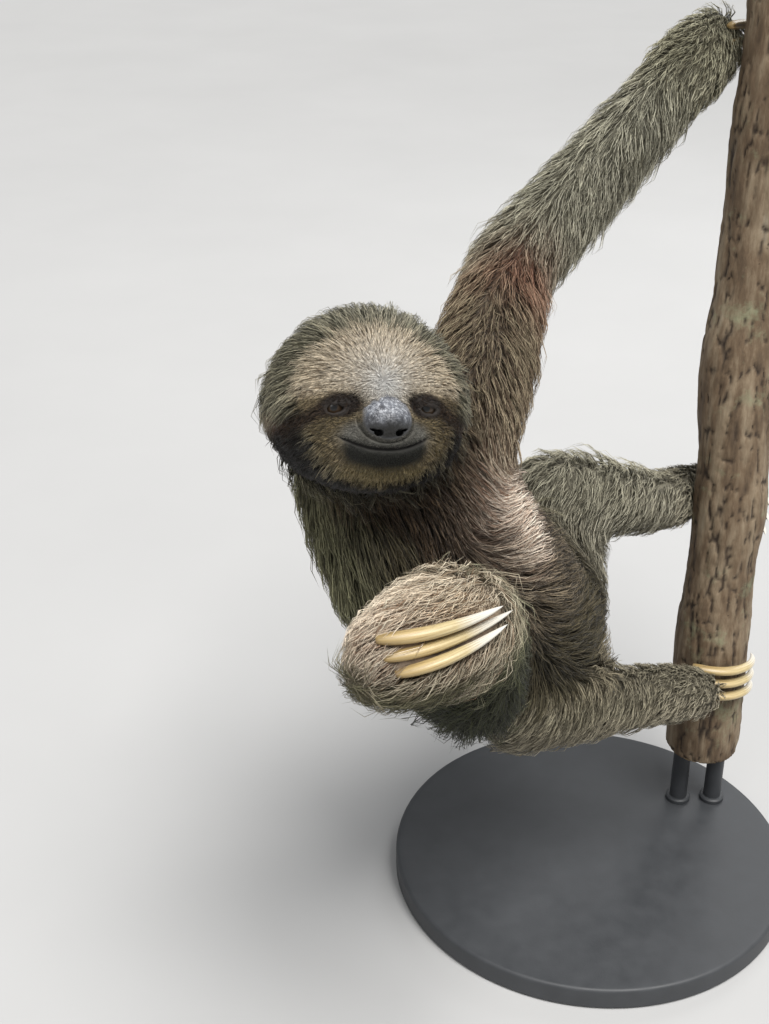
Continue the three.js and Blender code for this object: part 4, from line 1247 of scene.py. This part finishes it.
def claw_material():
    material, tree, shader = new_material("claw_horn")
    along = add_attribute(tree, "along")
    horn = add_ramp(
        tree, along.outputs["Fac"],
        [
            (0.0, linear(158, 134, 88)), (0.3, linear(192, 169, 120)), (0.6, linear(206, 190, 146)),
            (0.74, linear(226, 221, 206)), (1.0, linear(234, 232, 225)),
        ],
    )
    fibre = add_attribute(tree, "fibre")
    streaks = add_noise(tree, fibre.outputs["Vector"], 1.0, 6.0, 0.7)
    stops = [(0.25, linear(150, 120, 86)), (0.5, grey(0.85)), (0.8, grey(1.1))]
    ramp = add_ramp(tree, streaks.outputs["Fac"], stops)
    colour = add_mix(tree, "MULTIPLY", 1.0, horn.outputs["Color"], ramp.outputs["Color"])
    groove = add_attribute(tree, "groove")
    colour = add_mix(tree, "MIX", groove.outputs["Fac"], colour, linear(70, 50, 28))
    tree.links.new(colour, shader.inputs["Base Color"])
    shader.inputs["Roughness"].default_value = 0.38
    shader.inputs["Coat Weight"].default_value = 0.2
    shader.inputs["Coat Roughness"].default_value = 0.3
    add_bump(tree, shader, streaks.outputs["Fac"], 0.35, 0.0005)
    return material


def eye_material():
    material, tree, shader = new_material("eye")
    turn = add_attribute(tree, "iris")
    ramp = add_ramp(
        tree, turn.outputs["Fac"],
        [
            (0.0, grey(0.003)), (0.2, grey(0.003)), (0.25, linear(52, 38, 24)),
            (0.5, linear(44, 32, 20)), (0.62, linear(16, 12, 9)), (1.0, linear(44, 34, 30)),
        ],
    )
    fibres = add_noise(tree, object_vector(tree), 2200.0, 4.0)
    tint = add_ramp(tree, fibres.outputs["Fac"], [(0.3, grey(0.6)), (0.7, grey(1.2))])
    colour = add_mix(tree, "MULTIPLY", 1.0, ramp.outputs["Color"], tint.outputs["Color"])
    tree.links.new(colour, shader.inputs["Base Color"])
    shader.inputs["Roughness"].default_value = 0.3
    shader.inputs["Coat Weight"].default_value = 0.35
    shader.inputs["Coat Roughness"].default_value = 0.06
    return material


def bark_material():
    material, tree, shader = new_material("bark")
    vector = object_vector(tree)
    long_way = tree.nodes.new("ShaderNodeMapping")
    long_way.inputs["Scale"].default_value = (1.0, 1.0, 0.22)
    tree.links.new(vector, long_way.inputs["Vector"])
    broad = add_noise(tree, long_way.outputs["Vector"], 90.0, 8.0, 0.65)
    bark = add_ramp(
        tree, broad.outputs["Fac"],
        [
            (0.25, linear(58, 46, 34)), (0.45, linear(104, 86, 66)),
            (0.6, linear(138, 122, 100)), (0.8, linear(158, 150, 132)),
        ],
    )
    lichen = add_noise(tree, vector, 38.0, 6.0, 0.7)
    lichen_ramp = add_ramp(tree, lichen.outputs["Fac"], [(0.56, grey(0.0)), (0.68, grey(0.55))])
    spotted = lichen_ramp.outputs["Color"]
    colour = add_mix(tree, "MIX", spotted, bark.outputs["Color"], linear(140, 146, 116))
    crack = add_attribute(tree, "crack")
    colour = add_mix(tree, "MIX", crack.outputs["Fac"], colour, linear(44, 33, 24))
    ring = add_attribute(tree, "ring")
    waves = tree.nodes.new("ShaderNodeMath")
    waves.operation = "SINE"
    scaled = tree.nodes.new("ShaderNodeMath")
    scaled.operation = "MULTIPLY"
    scaled.inputs[1].default_value = 3300.0
    tree.links.new(ring.outputs["Fac"], scaled.inputs[0])
    tree.links.new(scaled.outputs[0], waves.inputs[0])
    wood = add_ramp(tree, waves.outputs[0], [(0.0, linear(198, 170, 124)), (1.0, linear(168, 134, 88))])
    cut = add_attribute(tree, "cut")
    colour = add_mix(tree, "MIX", cut.outputs["Fac"], colour, wood.outputs["Color"])
    tree.links.new(colour, shader.inputs["Base Color"])
    shader.inputs["Roughness"].default_value = 0.85
    fine = add_noise(tree, long_way.outputs["Vector"], 420.0, 8.0, 0.7)
    add_bump(tree, shader, fine.outputs["Fac"], 0.7, 0.0012)
    return material


def paint_material():
    material, tree, shader = new_material("stand_paint")
    vector = object_vector(tree)
    grain = add_noise(tree, vector, 60.0, 8.0)
    ramp = add_ramp(tree, grain.outputs["Fac"], [(0.3, linear(52, 54, 57)), (0.7, linear(62, 64, 67))])
    tree.links.new(ramp.outputs["Color"], shader.inputs["Base Color"])
    rough = add_ramp(tree, grain.outputs["Fac"], [(0.3, grey(0.48)), (0.7, grey(0.6))])
    tree.links.new(rough.outputs["Color"], shader.inputs["Roughness"])
    orange_peel = add_noise(tree, vector, 900.0, 2.0)
    add_bump(tree, shader, orange_peel.outputs["Fac"], 0.15, 0.0003)
    return material


def floor_material():
    material, tree, shader = new_material("floor")
    grain = add_noise(tree, object_vector(tree), 3.0, 4.0)
    ramp = add_ramp(tree, grain.outputs["Fac"], [(0.3, grey(0.43)), (0.7, grey(0.45))])
    tree.links.new(ramp.outputs["Color"], shader.inputs["Base Color"])
    shader.inputs["Roughness"].default_value = 0.8
    return material


# ------------------------------------------------------------------ eyes, claws, bough and stand


def joined_rings(count, sides):
    """Triangles of a closed solid whose vertices are its rings in turn, its first end and its last end."""
    here = np.arange(sides)
    beside = (here + 1) % sides
    faces = []
    for ring in range(count - 1):
        a, b = ring * sides + here, ring * sides + beside
        faces += [np.column_stack([a, b, b + sides]), np.column_stack([a, b + sides, a + sides])]
    first_end, last_ring = count * sides, (count - 1) * sides
    faces.append(np.column_stack([np.full(sides, first_end), beside, here]))
    faces.append(np.column_stack([last_ring + beside, np.full(sides, first_end + 1), last_ring + here]))
    return np.vstack(faces)


def lathe(profile, sides):
    """Vertices and faces of a closed solid turned about +Z from (radius, height) points, axis to axis."""
    angles = np.linspace(0, 2 * math.pi, sides, endpoint=False)
    x, y = np.cos(angles), np.sin(angles)
    rings = [np.column_stack([r * x, r * y, np.full(sides, h)]) for r, h in profile[1:-1]]
    vertices = np.vstack([*rings, [[0, 0, profile[0][1]]], [[0, 0, profile[-1][1]]]])
    return vertices, joined_rings(len(rings), sides)


def make_eye(side, material):
    turns = np.linspace(0.0, math.pi, 40)
    bulge = EYE_RADIUS * (1.0 + 0.045 * blob((turns, 0.55)))
    profile = [(r * math.sin(a), r * math.cos(a)) for r, a in zip(bulge[::-1], turns[::-1])]
    vertices, faces = lathe(profile, 48)
    iris = np.arccos(np.clip(unit(vertices)[:, 2], -1, 1)) / 1.15
    gaze = np.array([-0.16, -0.14, 1.0])
    z = unit(gaze)
    x = unit(np.cross([0, 1, 0], z))
    turned = vertices @ np.array([x, np.cross(z, x), z])
    sign = 1 if side > 0 else -1
    placed = from_head(turned + np.array([sign * EYE_AT[0], EYE_AT[1], EYE_AT[2]]))
    name = "left" if side > 0 else "right"
    eye = mesh_object(f"eyeball_{name}", placed, faces)
    point_number(eye, "iris", np.clip(iris, 0, 1))
    eye.data.materials.append(material)
    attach(eye, "root")
    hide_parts(f"eye_{name}")


CLAW_SIDES, CLAW_RINGS = 24, 44
# Thickness along a claw, as pairs of the share of its length and the share of its full thickness.
CLAW_TAPER = np.array([
    (0, 0.62), (0.06, 0.88), (0.14, 0.96), (0.28, 1), (0.42, 1),
    (0.65, 0.82), (0.85, 0.54), (0.96, 0.26), (1, 0.04),
])


def make_claw(node, path, outward, width, height, material):
    """A claw along a path, with a ridge on its outer side and a groove under it."""
    shares = np.linspace(0, 1, len(path))
    fine = np.linspace(0, 1, CLAW_RINGS)
    centre = np.column_stack([np.interp(fine, shares, path[:, k]) for k in range(3)])
    centre = smoothed_line(centre, 6)
    out = unit(np.column_stack([np.interp(fine, shares, outward[:, k]) for k in range(3)]))
    tangent = unit(np.gradient(centre, axis=0))
    across = unit(np.cross(tangent, out))
    out = np.cross(across, tangent)
    taper = np.interp(fine, *CLAW_TAPER.T)
    taper = smoothed_line(taper[:, None], 3)[:, 0]
    angle = np.linspace(0, 2 * math.pi, CLAW_SIDES, endpoint=False)
    wide = np.cos(angle) * (1 - 0.12 * np.sin(angle))
    high = np.sin(angle)
    groove = blob((angle - 1.5 * math.pi, 0.38))
    high = high + 0.34 * groove
    rings = (
        centre[:, None]
        + across[:, None] * (wide[None] * width / 2 * taper[:, None])[..., None]
        + out[:, None] * (high[None] * height / 2 * taper[:, None])[..., None]
    )
    vertices = np.vstack([rings.reshape(-1, 3), centre[:1], centre[-1:] + tangent[-1:] * 0.0008])
    faces = joined_rings(CLAW_RINGS, CLAW_SIDES)
    a, b, c = (vertices[faces[:, k]] for k in range(3))
    if (np.cross(a, b) * c).sum() < 0:
        faces = faces[:, ::-1]
    claw = mesh_object(f"horn_{node[5:]}", vertices, faces)
    along = np.concatenate([np.repeat(fine, CLAW_SIDES), [0, 1]])
    turn = np.concatenate([np.tile(angle, CLAW_RINGS), [0, 0]])
    point_number(claw, "along", along)
    point_number(claw, "groove", np.concatenate([np.tile(0.75 * groove, CLAW_RINGS), [0, 0]]))
    point_vector(claw, "fibre", np.column_stack([3.2 * np.cos(turn), 3.2 * np.sin(turn), 2.4 * along]))
    claw.data.materials.append(material)
    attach(claw, "root")
    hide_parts(node)


def smoothed_line(points, passes):
    points = points.copy()
    for _ in range(passes):
        points[1:-1] = 0.5 * points[1:-1] + 0.25 * (points[:-2] + points[2:])
    return points


# Folded claws of the right hand: base and tip from the knuckles.
FOLDED_CLAWS = [
    ("inner", (-3, -15.5, 18), (49, 7.5, 20)),
    ("middle", (0, -18.5, 11), (54, 15.5, 13)),
    ("outer", (5, -19.5, 4), (51, 5.5, 12)),
]
FOLDED_BOW = np.array([0, -6.5, 0.6])
BOUGH_AXIS = np.array([
    (82, 53, 62), (82, 53, 98), (81, 57, 160), (86, 66, 245),
    (83, 81, 345), (89, 94, 445), (93, 102, 530), (91, 107, 588),
], float) * MM
# Height, turn and rise in degrees, length, and radii at the root and the cut.
TWIG_STUBS = [(355, 82, 28, 44, 10, 6), (455, 27, 25, 40, 9, 5)]
# Claws round the bough: width, height and the degrees of the bough that they go round.
HAND_CLAW = (5.8, 8.4, 118.0)
FOOT_CLAW = (5.4, 7.2, 100.0)
CLAW_SPACING = 9.5
FOLDED_WIDTH, FOLDED_WIDTH_INNER, FOLDED_HEIGHT = 5.3, 6.0, 6.2


def bough_centre(height):
    """Centre of the bough at a height, and its radius there."""
    z = BOUGH_AXIS[:, 2]
    share = (height - z[0]) / (z[-1] - z[0])
    radius = mix(24.5, 21.5, share) + 0.9 * np.sin(17 * share) + 0.5 * np.sin(41 * share)
    return np.array([np.interp(height, z, BOUGH_AXIS[:, k]) for k in range(2)]), radius * MM


def folded_claw_paths(start=0.1):
    """Centre lines of the folded claws of the right hand."""
    paths = []
    knuckles = JOINTS["knuckles_right"]
    t = np.linspace(start, 1, 16)[:, None]
    for _, base, tip in FOLDED_CLAWS:
        base, tip = knuckles + np.array(base) * MM, knuckles + np.array(tip) * MM
        bend = (base + tip) / 2 + 2 * FOLDED_BOW * MM
        paths.append((1 - t) ** 2 * base + 2 * t * (1 - t) * bend + t**2 * tip)
    return paths


def make_claws(material):
    for (digit, _, _), path in zip(FOLDED_CLAWS, folded_claw_paths(-0.03)):
        outward = np.tile(FOLDED_BOW, (len(path), 1))
        width = FOLDED_WIDTH_INNER if digit == "inner" else FOLDED_WIDTH
        make_claw(f"claw_hand_right_{digit}", path, outward, width * MM, FOLDED_HEIGHT * MM, material)
    for paw, joint, (width, height, arc), turn in (
        ("hand_left", "knuckles_left", HAND_CLAW, -1),
        ("foot_right", "toes_right", FOOT_CLAW, 1),
        ("foot_left", "toes_left", FOOT_CLAW, -1),
    ):
        end = JOINTS[joint]
        for index, digit in enumerate(("inner", "middle", "outer")):
            level = end[2] + (index - 1) * CLAW_SPACING * MM
            centre, radius = bough_centre(level)
            start = math.atan2(end[1] - centre[1], end[0] - centre[0])
            orbit = radius + (height / 2 + 1.4) * MM
            share = np.linspace(-0.16, 1, 15)
            angle = start + turn * (math.radians(3) + math.radians(arc) * share)
            reach = orbit + (3 * (1 - share) - 2.4 * np.abs(share) ** 3) * MM
            path = np.column_stack(
                [centre[0] + reach * np.cos(angle), centre[1] + reach * np.sin(angle), level - 5 * share * MM]
            )
            outward = np.column_stack([np.cos(angle), np.sin(angle), np.zeros(len(share))])
            make_claw(f"claw_{paw}_{digit}", path, outward, width * MM, height * MM, material)


def tube(points, radii, sides):
    """A closed tube of triangles through points."""
    tangent = unit(np.gradient(points, axis=0))
    across = unit(np.cross(tangent, [0.1, 1.0, 0.05]))
    up = np.cross(across, tangent)
    angle = np.linspace(0, 2 * math.pi, sides, endpoint=False)
    rings = points[:, None] + np.asarray(radii)[:, None, None] * (
        np.cos(angle)[None, :, None] * across[:, None] + np.sin(angle)[None, :, None] * up[:, None]
    )
    vertices = np.vstack([rings.reshape(-1, 3), points[:1], points[-1:]])
    return vertices, joined_rings(len(points), sides)[:, [0, 2, 1]]


def make_bough(material):
    heights = np.linspace(BOUGH_AXIS[0, 2], BOUGH_AXIS[-1, 2], 90)
    places = [bough_centre(h) for h in heights]
    centre = smoothed_line(np.array([[*xy, h] for (xy, _), h in zip(places, heights)]), 8)
    radii = np.array([r for _, r in places]) - 0.6 * MM
    vertices, faces = tube(centre, radii, 48)
    ends = [(centre[0], -UP, radii[0]), (centre[-1], UP, radii[-1])]
    for height, turn, rise, length, root, tip in TWIG_STUBS:
        level, turn, rise = height * MM, math.radians(turn), math.radians(rise)
        way = np.array([math.cos(rise) * math.sin(turn), -math.cos(rise) * math.cos(turn), math.sin(rise)])
        start = np.array([*bough_centre(level)[0], level])
        t = np.linspace(0, 1, 12)[:, None]
        line = start + way * length * MM * t
        thick = mix(root, tip, t[:, 0] ** 0.8) * MM
        v, f = tube(line, thick, 24)
        faces = np.vstack([faces, f + len(vertices)])
        vertices = np.vstack([vertices, v])
        ends.append((line[-1], way, thick[-1]))
    mesh = voxel_remeshed(vertices, faces, 1.5 * MM)
    v, t = arrays_of(mesh)
    bpy.data.meshes.remove(mesh)
    n = vertex_normals(v, t)
    cut = np.zeros(len(v))
    ring = np.zeros(len(v))
    for middle, way, radius in ends:
        height = (v - middle) @ way
        off = np.linalg.norm((v - middle) - height[:, None] * way, axis=1)
        face = (np.abs(height) < 1.2 * MM) & (off < radius - 0.8 * MM) & ((n @ way) > 0.7)
        cut[face] = 1.0
        near = (off < 1.3 * radius) & (np.abs(height) < 3 * MM)
        ring = np.where(near, off + 0.7 * MM * noise(v, 0.008, 5), ring)
    stretched = v * np.array([1, 1, 0.3])
    ridges = np.abs(noise(stretched, 0.0055, 31)) + 0.6 * np.abs(noise(stretched, 0.0024, 32))
    crack = 1 - smoothstep(0.05, 0.32, ridges)
    relief = (0.9 * ridges - 0.7 * crack + 1.2 * noise(v, 0.035, 33)) * MM * (1 - cut)
    v = v + n * (relief - 0.2 * MM)[:, None]
    bough = mesh_object("bough_bark", v, t)
    point_number(bough, "crack", crack * (1 - cut))
    point_number(bough, "cut", cut)
    point_number(bough, "ring", ring)
    bough.data.materials.append(material)
    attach(bough, "root")
    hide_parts("perch_branch")


BASE_RADIUS, BASE_THICKNESS, BASE_BEVEL = 132 * MM, 15 * MM, 2.5 * MM
ROD_RADIUS, ROD_SPACING, ROD_GAP = 6 * MM, 24 * MM, 0.35 * MM
COLLAR_RADIUS, COLLAR_HEIGHT, COLLAR_EDGE, COLLAR_BEVEL = 8.5 * MM, 3.2 * MM, 2.2 * MM, 1 * MM


def make_stand(material):
    arc = np.linspace(0, math.pi / 2, 8)
    rim = [
        (BASE_RADIUS - BASE_BEVEL * (1 - math.cos(a)), BASE_THICKNESS - BASE_BEVEL * (1 - math.sin(a)))
        for a in arc
    ]
    foot = [(0, 0), (BASE_RADIUS - 1.2 * MM, 0), (BASE_RADIUS, 1.2 * MM)]
    vertices, faces = lathe([*foot, *rim, (BASE_RADIUS - 6 * MM, BASE_THICKNESS), (0, BASE_THICKNESS)], 192)
    base = mesh_object("base_plate", vertices, faces)
    base.data.set_sharp_from_angle(angle=math.radians(40))
    pieces = [(base, "stand_base")]
    low, high = BASE_THICKNESS + ROD_GAP, BOUGH_AXIS[0, 2] - ROD_GAP
    for side, name in ((1, "left"), (-1, "right")):
        profile = [
            (0, low), (COLLAR_RADIUS, low), (COLLAR_RADIUS, low + COLLAR_EDGE),
            (COLLAR_RADIUS - COLLAR_BEVEL, low + COLLAR_HEIGHT), (ROD_RADIUS, low + COLLAR_HEIGHT),
            (ROD_RADIUS, high - COLLAR_HEIGHT), (COLLAR_RADIUS - COLLAR_BEVEL, high - COLLAR_HEIGHT),
            (COLLAR_RADIUS, high - COLLAR_EDGE), (COLLAR_RADIUS, high), (0, high),
        ]
        vertices, faces = lathe(profile, 48)
        vertices[:, :2] += BOUGH_AXIS[0, :2] + np.array([side * ROD_SPACING / 2, 0])
        rod = mesh_object(f"rod_{name}", vertices, faces)
        rod.data.set_sharp_from_angle(angle=math.radians(40))
        pieces.append((rod, f"stand_rod_{name}"))
    for piece, node in pieces:
        piece.data.materials.append(material)
        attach(piece, "root")
        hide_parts(node)


# ------------------------------------------------------------------ skin piece


def skin_tones(skin):
    """Colour of each vertex with its painted shade, how bare it is, and the painted sheen on its nose."""
    p = to_head(skin["v"])
    rows = skin["style"]
    tone = mix(rows[:, DARK], rows[:, PALE], (0.35 * rows[:, SHARE])[:, None]) * 0.8
    share = skin["head"]
    nose = nose_share(p) * share
    lids = lid_share(p) * share
    lips = lip_share(p) * share
    tone = mix(tone, linear(82, 85, 92), nose[:, None])
    # Painted shade darkens the lower half of the nose.
    nose_underside_shade = nose * (1 - smoothstep(-18.5, -11.5, p[:, 1] + 1.5 * noise(p * MM, 4 * MM, 31)))
    stains = 0.55 * nose * smoothstep(0.05, 0.5, noise(p * MM, 4.5 * MM, 32))
    tone = mix(tone, linear(46, 44, 48), stains[:, None])
    tone = mix(tone, linear(30, 30, 29), nose_underside_shade[:, None])
    tone = mix(tone, linear(30, 23, 18), lids[:, None])
    tone = mix(tone, linear(22, 19, 17), lips[:, None])
    # Painted shade: the nostrils are painted near black inside.
    nostril_shade = (1 - smoothstep(0.8, 1.15, nostril(mirrored(p)))) * nose
    tone = mix(tone, linear(6, 6, 6), nostril_shade[:, None])
    # Painted sheen: white flecks over the upper part of the nose.
    nose_sheen = 0.9 * nose * smoothstep(-18, -9, p[:, 1])
    # Painted shade darkens the skin at the whorl's centre.
    centre = blob((np.linalg.norm(p[:, :2] - WHORL[:2], axis=1), 2.4)) * share * (p[:, 2] > 20)
    tone = tone * (1 - 0.5 * centre)[:, None]
    return tone, np.maximum(nose, 0.3 * np.maximum(lids, lips)), nose_sheen


def make_skin_piece(skin, charts, material):
    thing = mesh_object("skin", skin["v"], skin["t"])
    tone, bare, nose_sheen = skin_tones(skin)
    point_colour(thing, "tone", tone)
    point_number(thing, "bare", bare)
    point_number(thing, "nose_sheen", nose_sheen)
    uv = skin_uv(skin, charts)
    layer = thing.data.uv_layers.new(name="OFBake")
    layer.data.foreach_set("uv", uv.astype(np.float32).ravel())
    thing.data.materials.append(material)
    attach(thing, "root")
    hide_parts(*REGION_NAMES, "ear_left", "ear_right")


# ------------------------------------------------------------------ floor and light


def area_light(name, at_place, towards, size, power, colour=(1, 1, 1)):
    data = bpy.data.lights.new(name, "AREA")
    data.shape = "DISK"
    data.size = size
    data.energy = power
    data.color = colour
    light = bpy.data.objects.new(name, data)
    light.location = at_place
    way = Vector(towards) - Vector(at_place)
    light.rotation_euler = way.to_track_quat("-Z", "Y").to_euler()
    bpy.context.scene.collection.objects.link(light)


FLOOR_HALF, FLOOR_LEVEL = 9.0, -0.0005


def make_studio():
    corners = ((-1, -1), (1, -1), (1, 1), (-1, 1))
    vertices = [(x * FLOOR_HALF, y * FLOOR_HALF, FLOOR_LEVEL) for x, y in corners]
    floor = mesh_object("floor", np.array(vertices), np.array([(0, 1, 2, 3)]), smooth=False)
    floor.data.materials.append(floor_material())
    sun = bpy.data.lights.new("key", "SUN")
    sun.energy = 4.4
    sun.angle = math.radians(34)
    sun.color = (1.0, 0.985, 0.96)
    key = bpy.data.objects.new("key", sun)
    key.rotation_euler = Vector((-0.22, 0.36, -0.90)).to_track_quat("-Z", "Y").to_euler()
    bpy.context.scene.collection.objects.link(key)
    middle = (-0.08, -0.08, 0.36)
    area_light("glow", (-0.9, -1.3, 1.5), middle, 0.9, 7.0, (1.0, 0.98, 0.95))
    area_light("rim", (0.8, 1.3, 1.3), middle, 0.9, 9.0)
    world = bpy.data.worlds.new("world")
    bpy.context.scene.world = world
    world.use_nodes = True
    background = next(node for node in world.node_tree.nodes if node.type == "BACKGROUND")
    background.inputs["Color"].default_value = (0.90, 0.93, 0.96, 1.0)
    background.inputs["Strength"].default_value = 0.32
    bpy.context.scene.view_settings.view_transform = "Standard"
    bpy.context.scene.view_settings.look = "None"


# ------------------------------------------------------------------ assembly

make_camera()
skin = make_skin()
charts = lay_charts(skin)
dress(skin)
make_skin_piece(skin, charts, skin_material())
make_coat(skin, charts, coat_material())
eye_surface = eye_material()
make_eye(1, eye_surface)
make_eye(-1, eye_surface)
make_claws(claw_material())
make_bough(bark_material())
make_stand(paint_material())
make_studio()
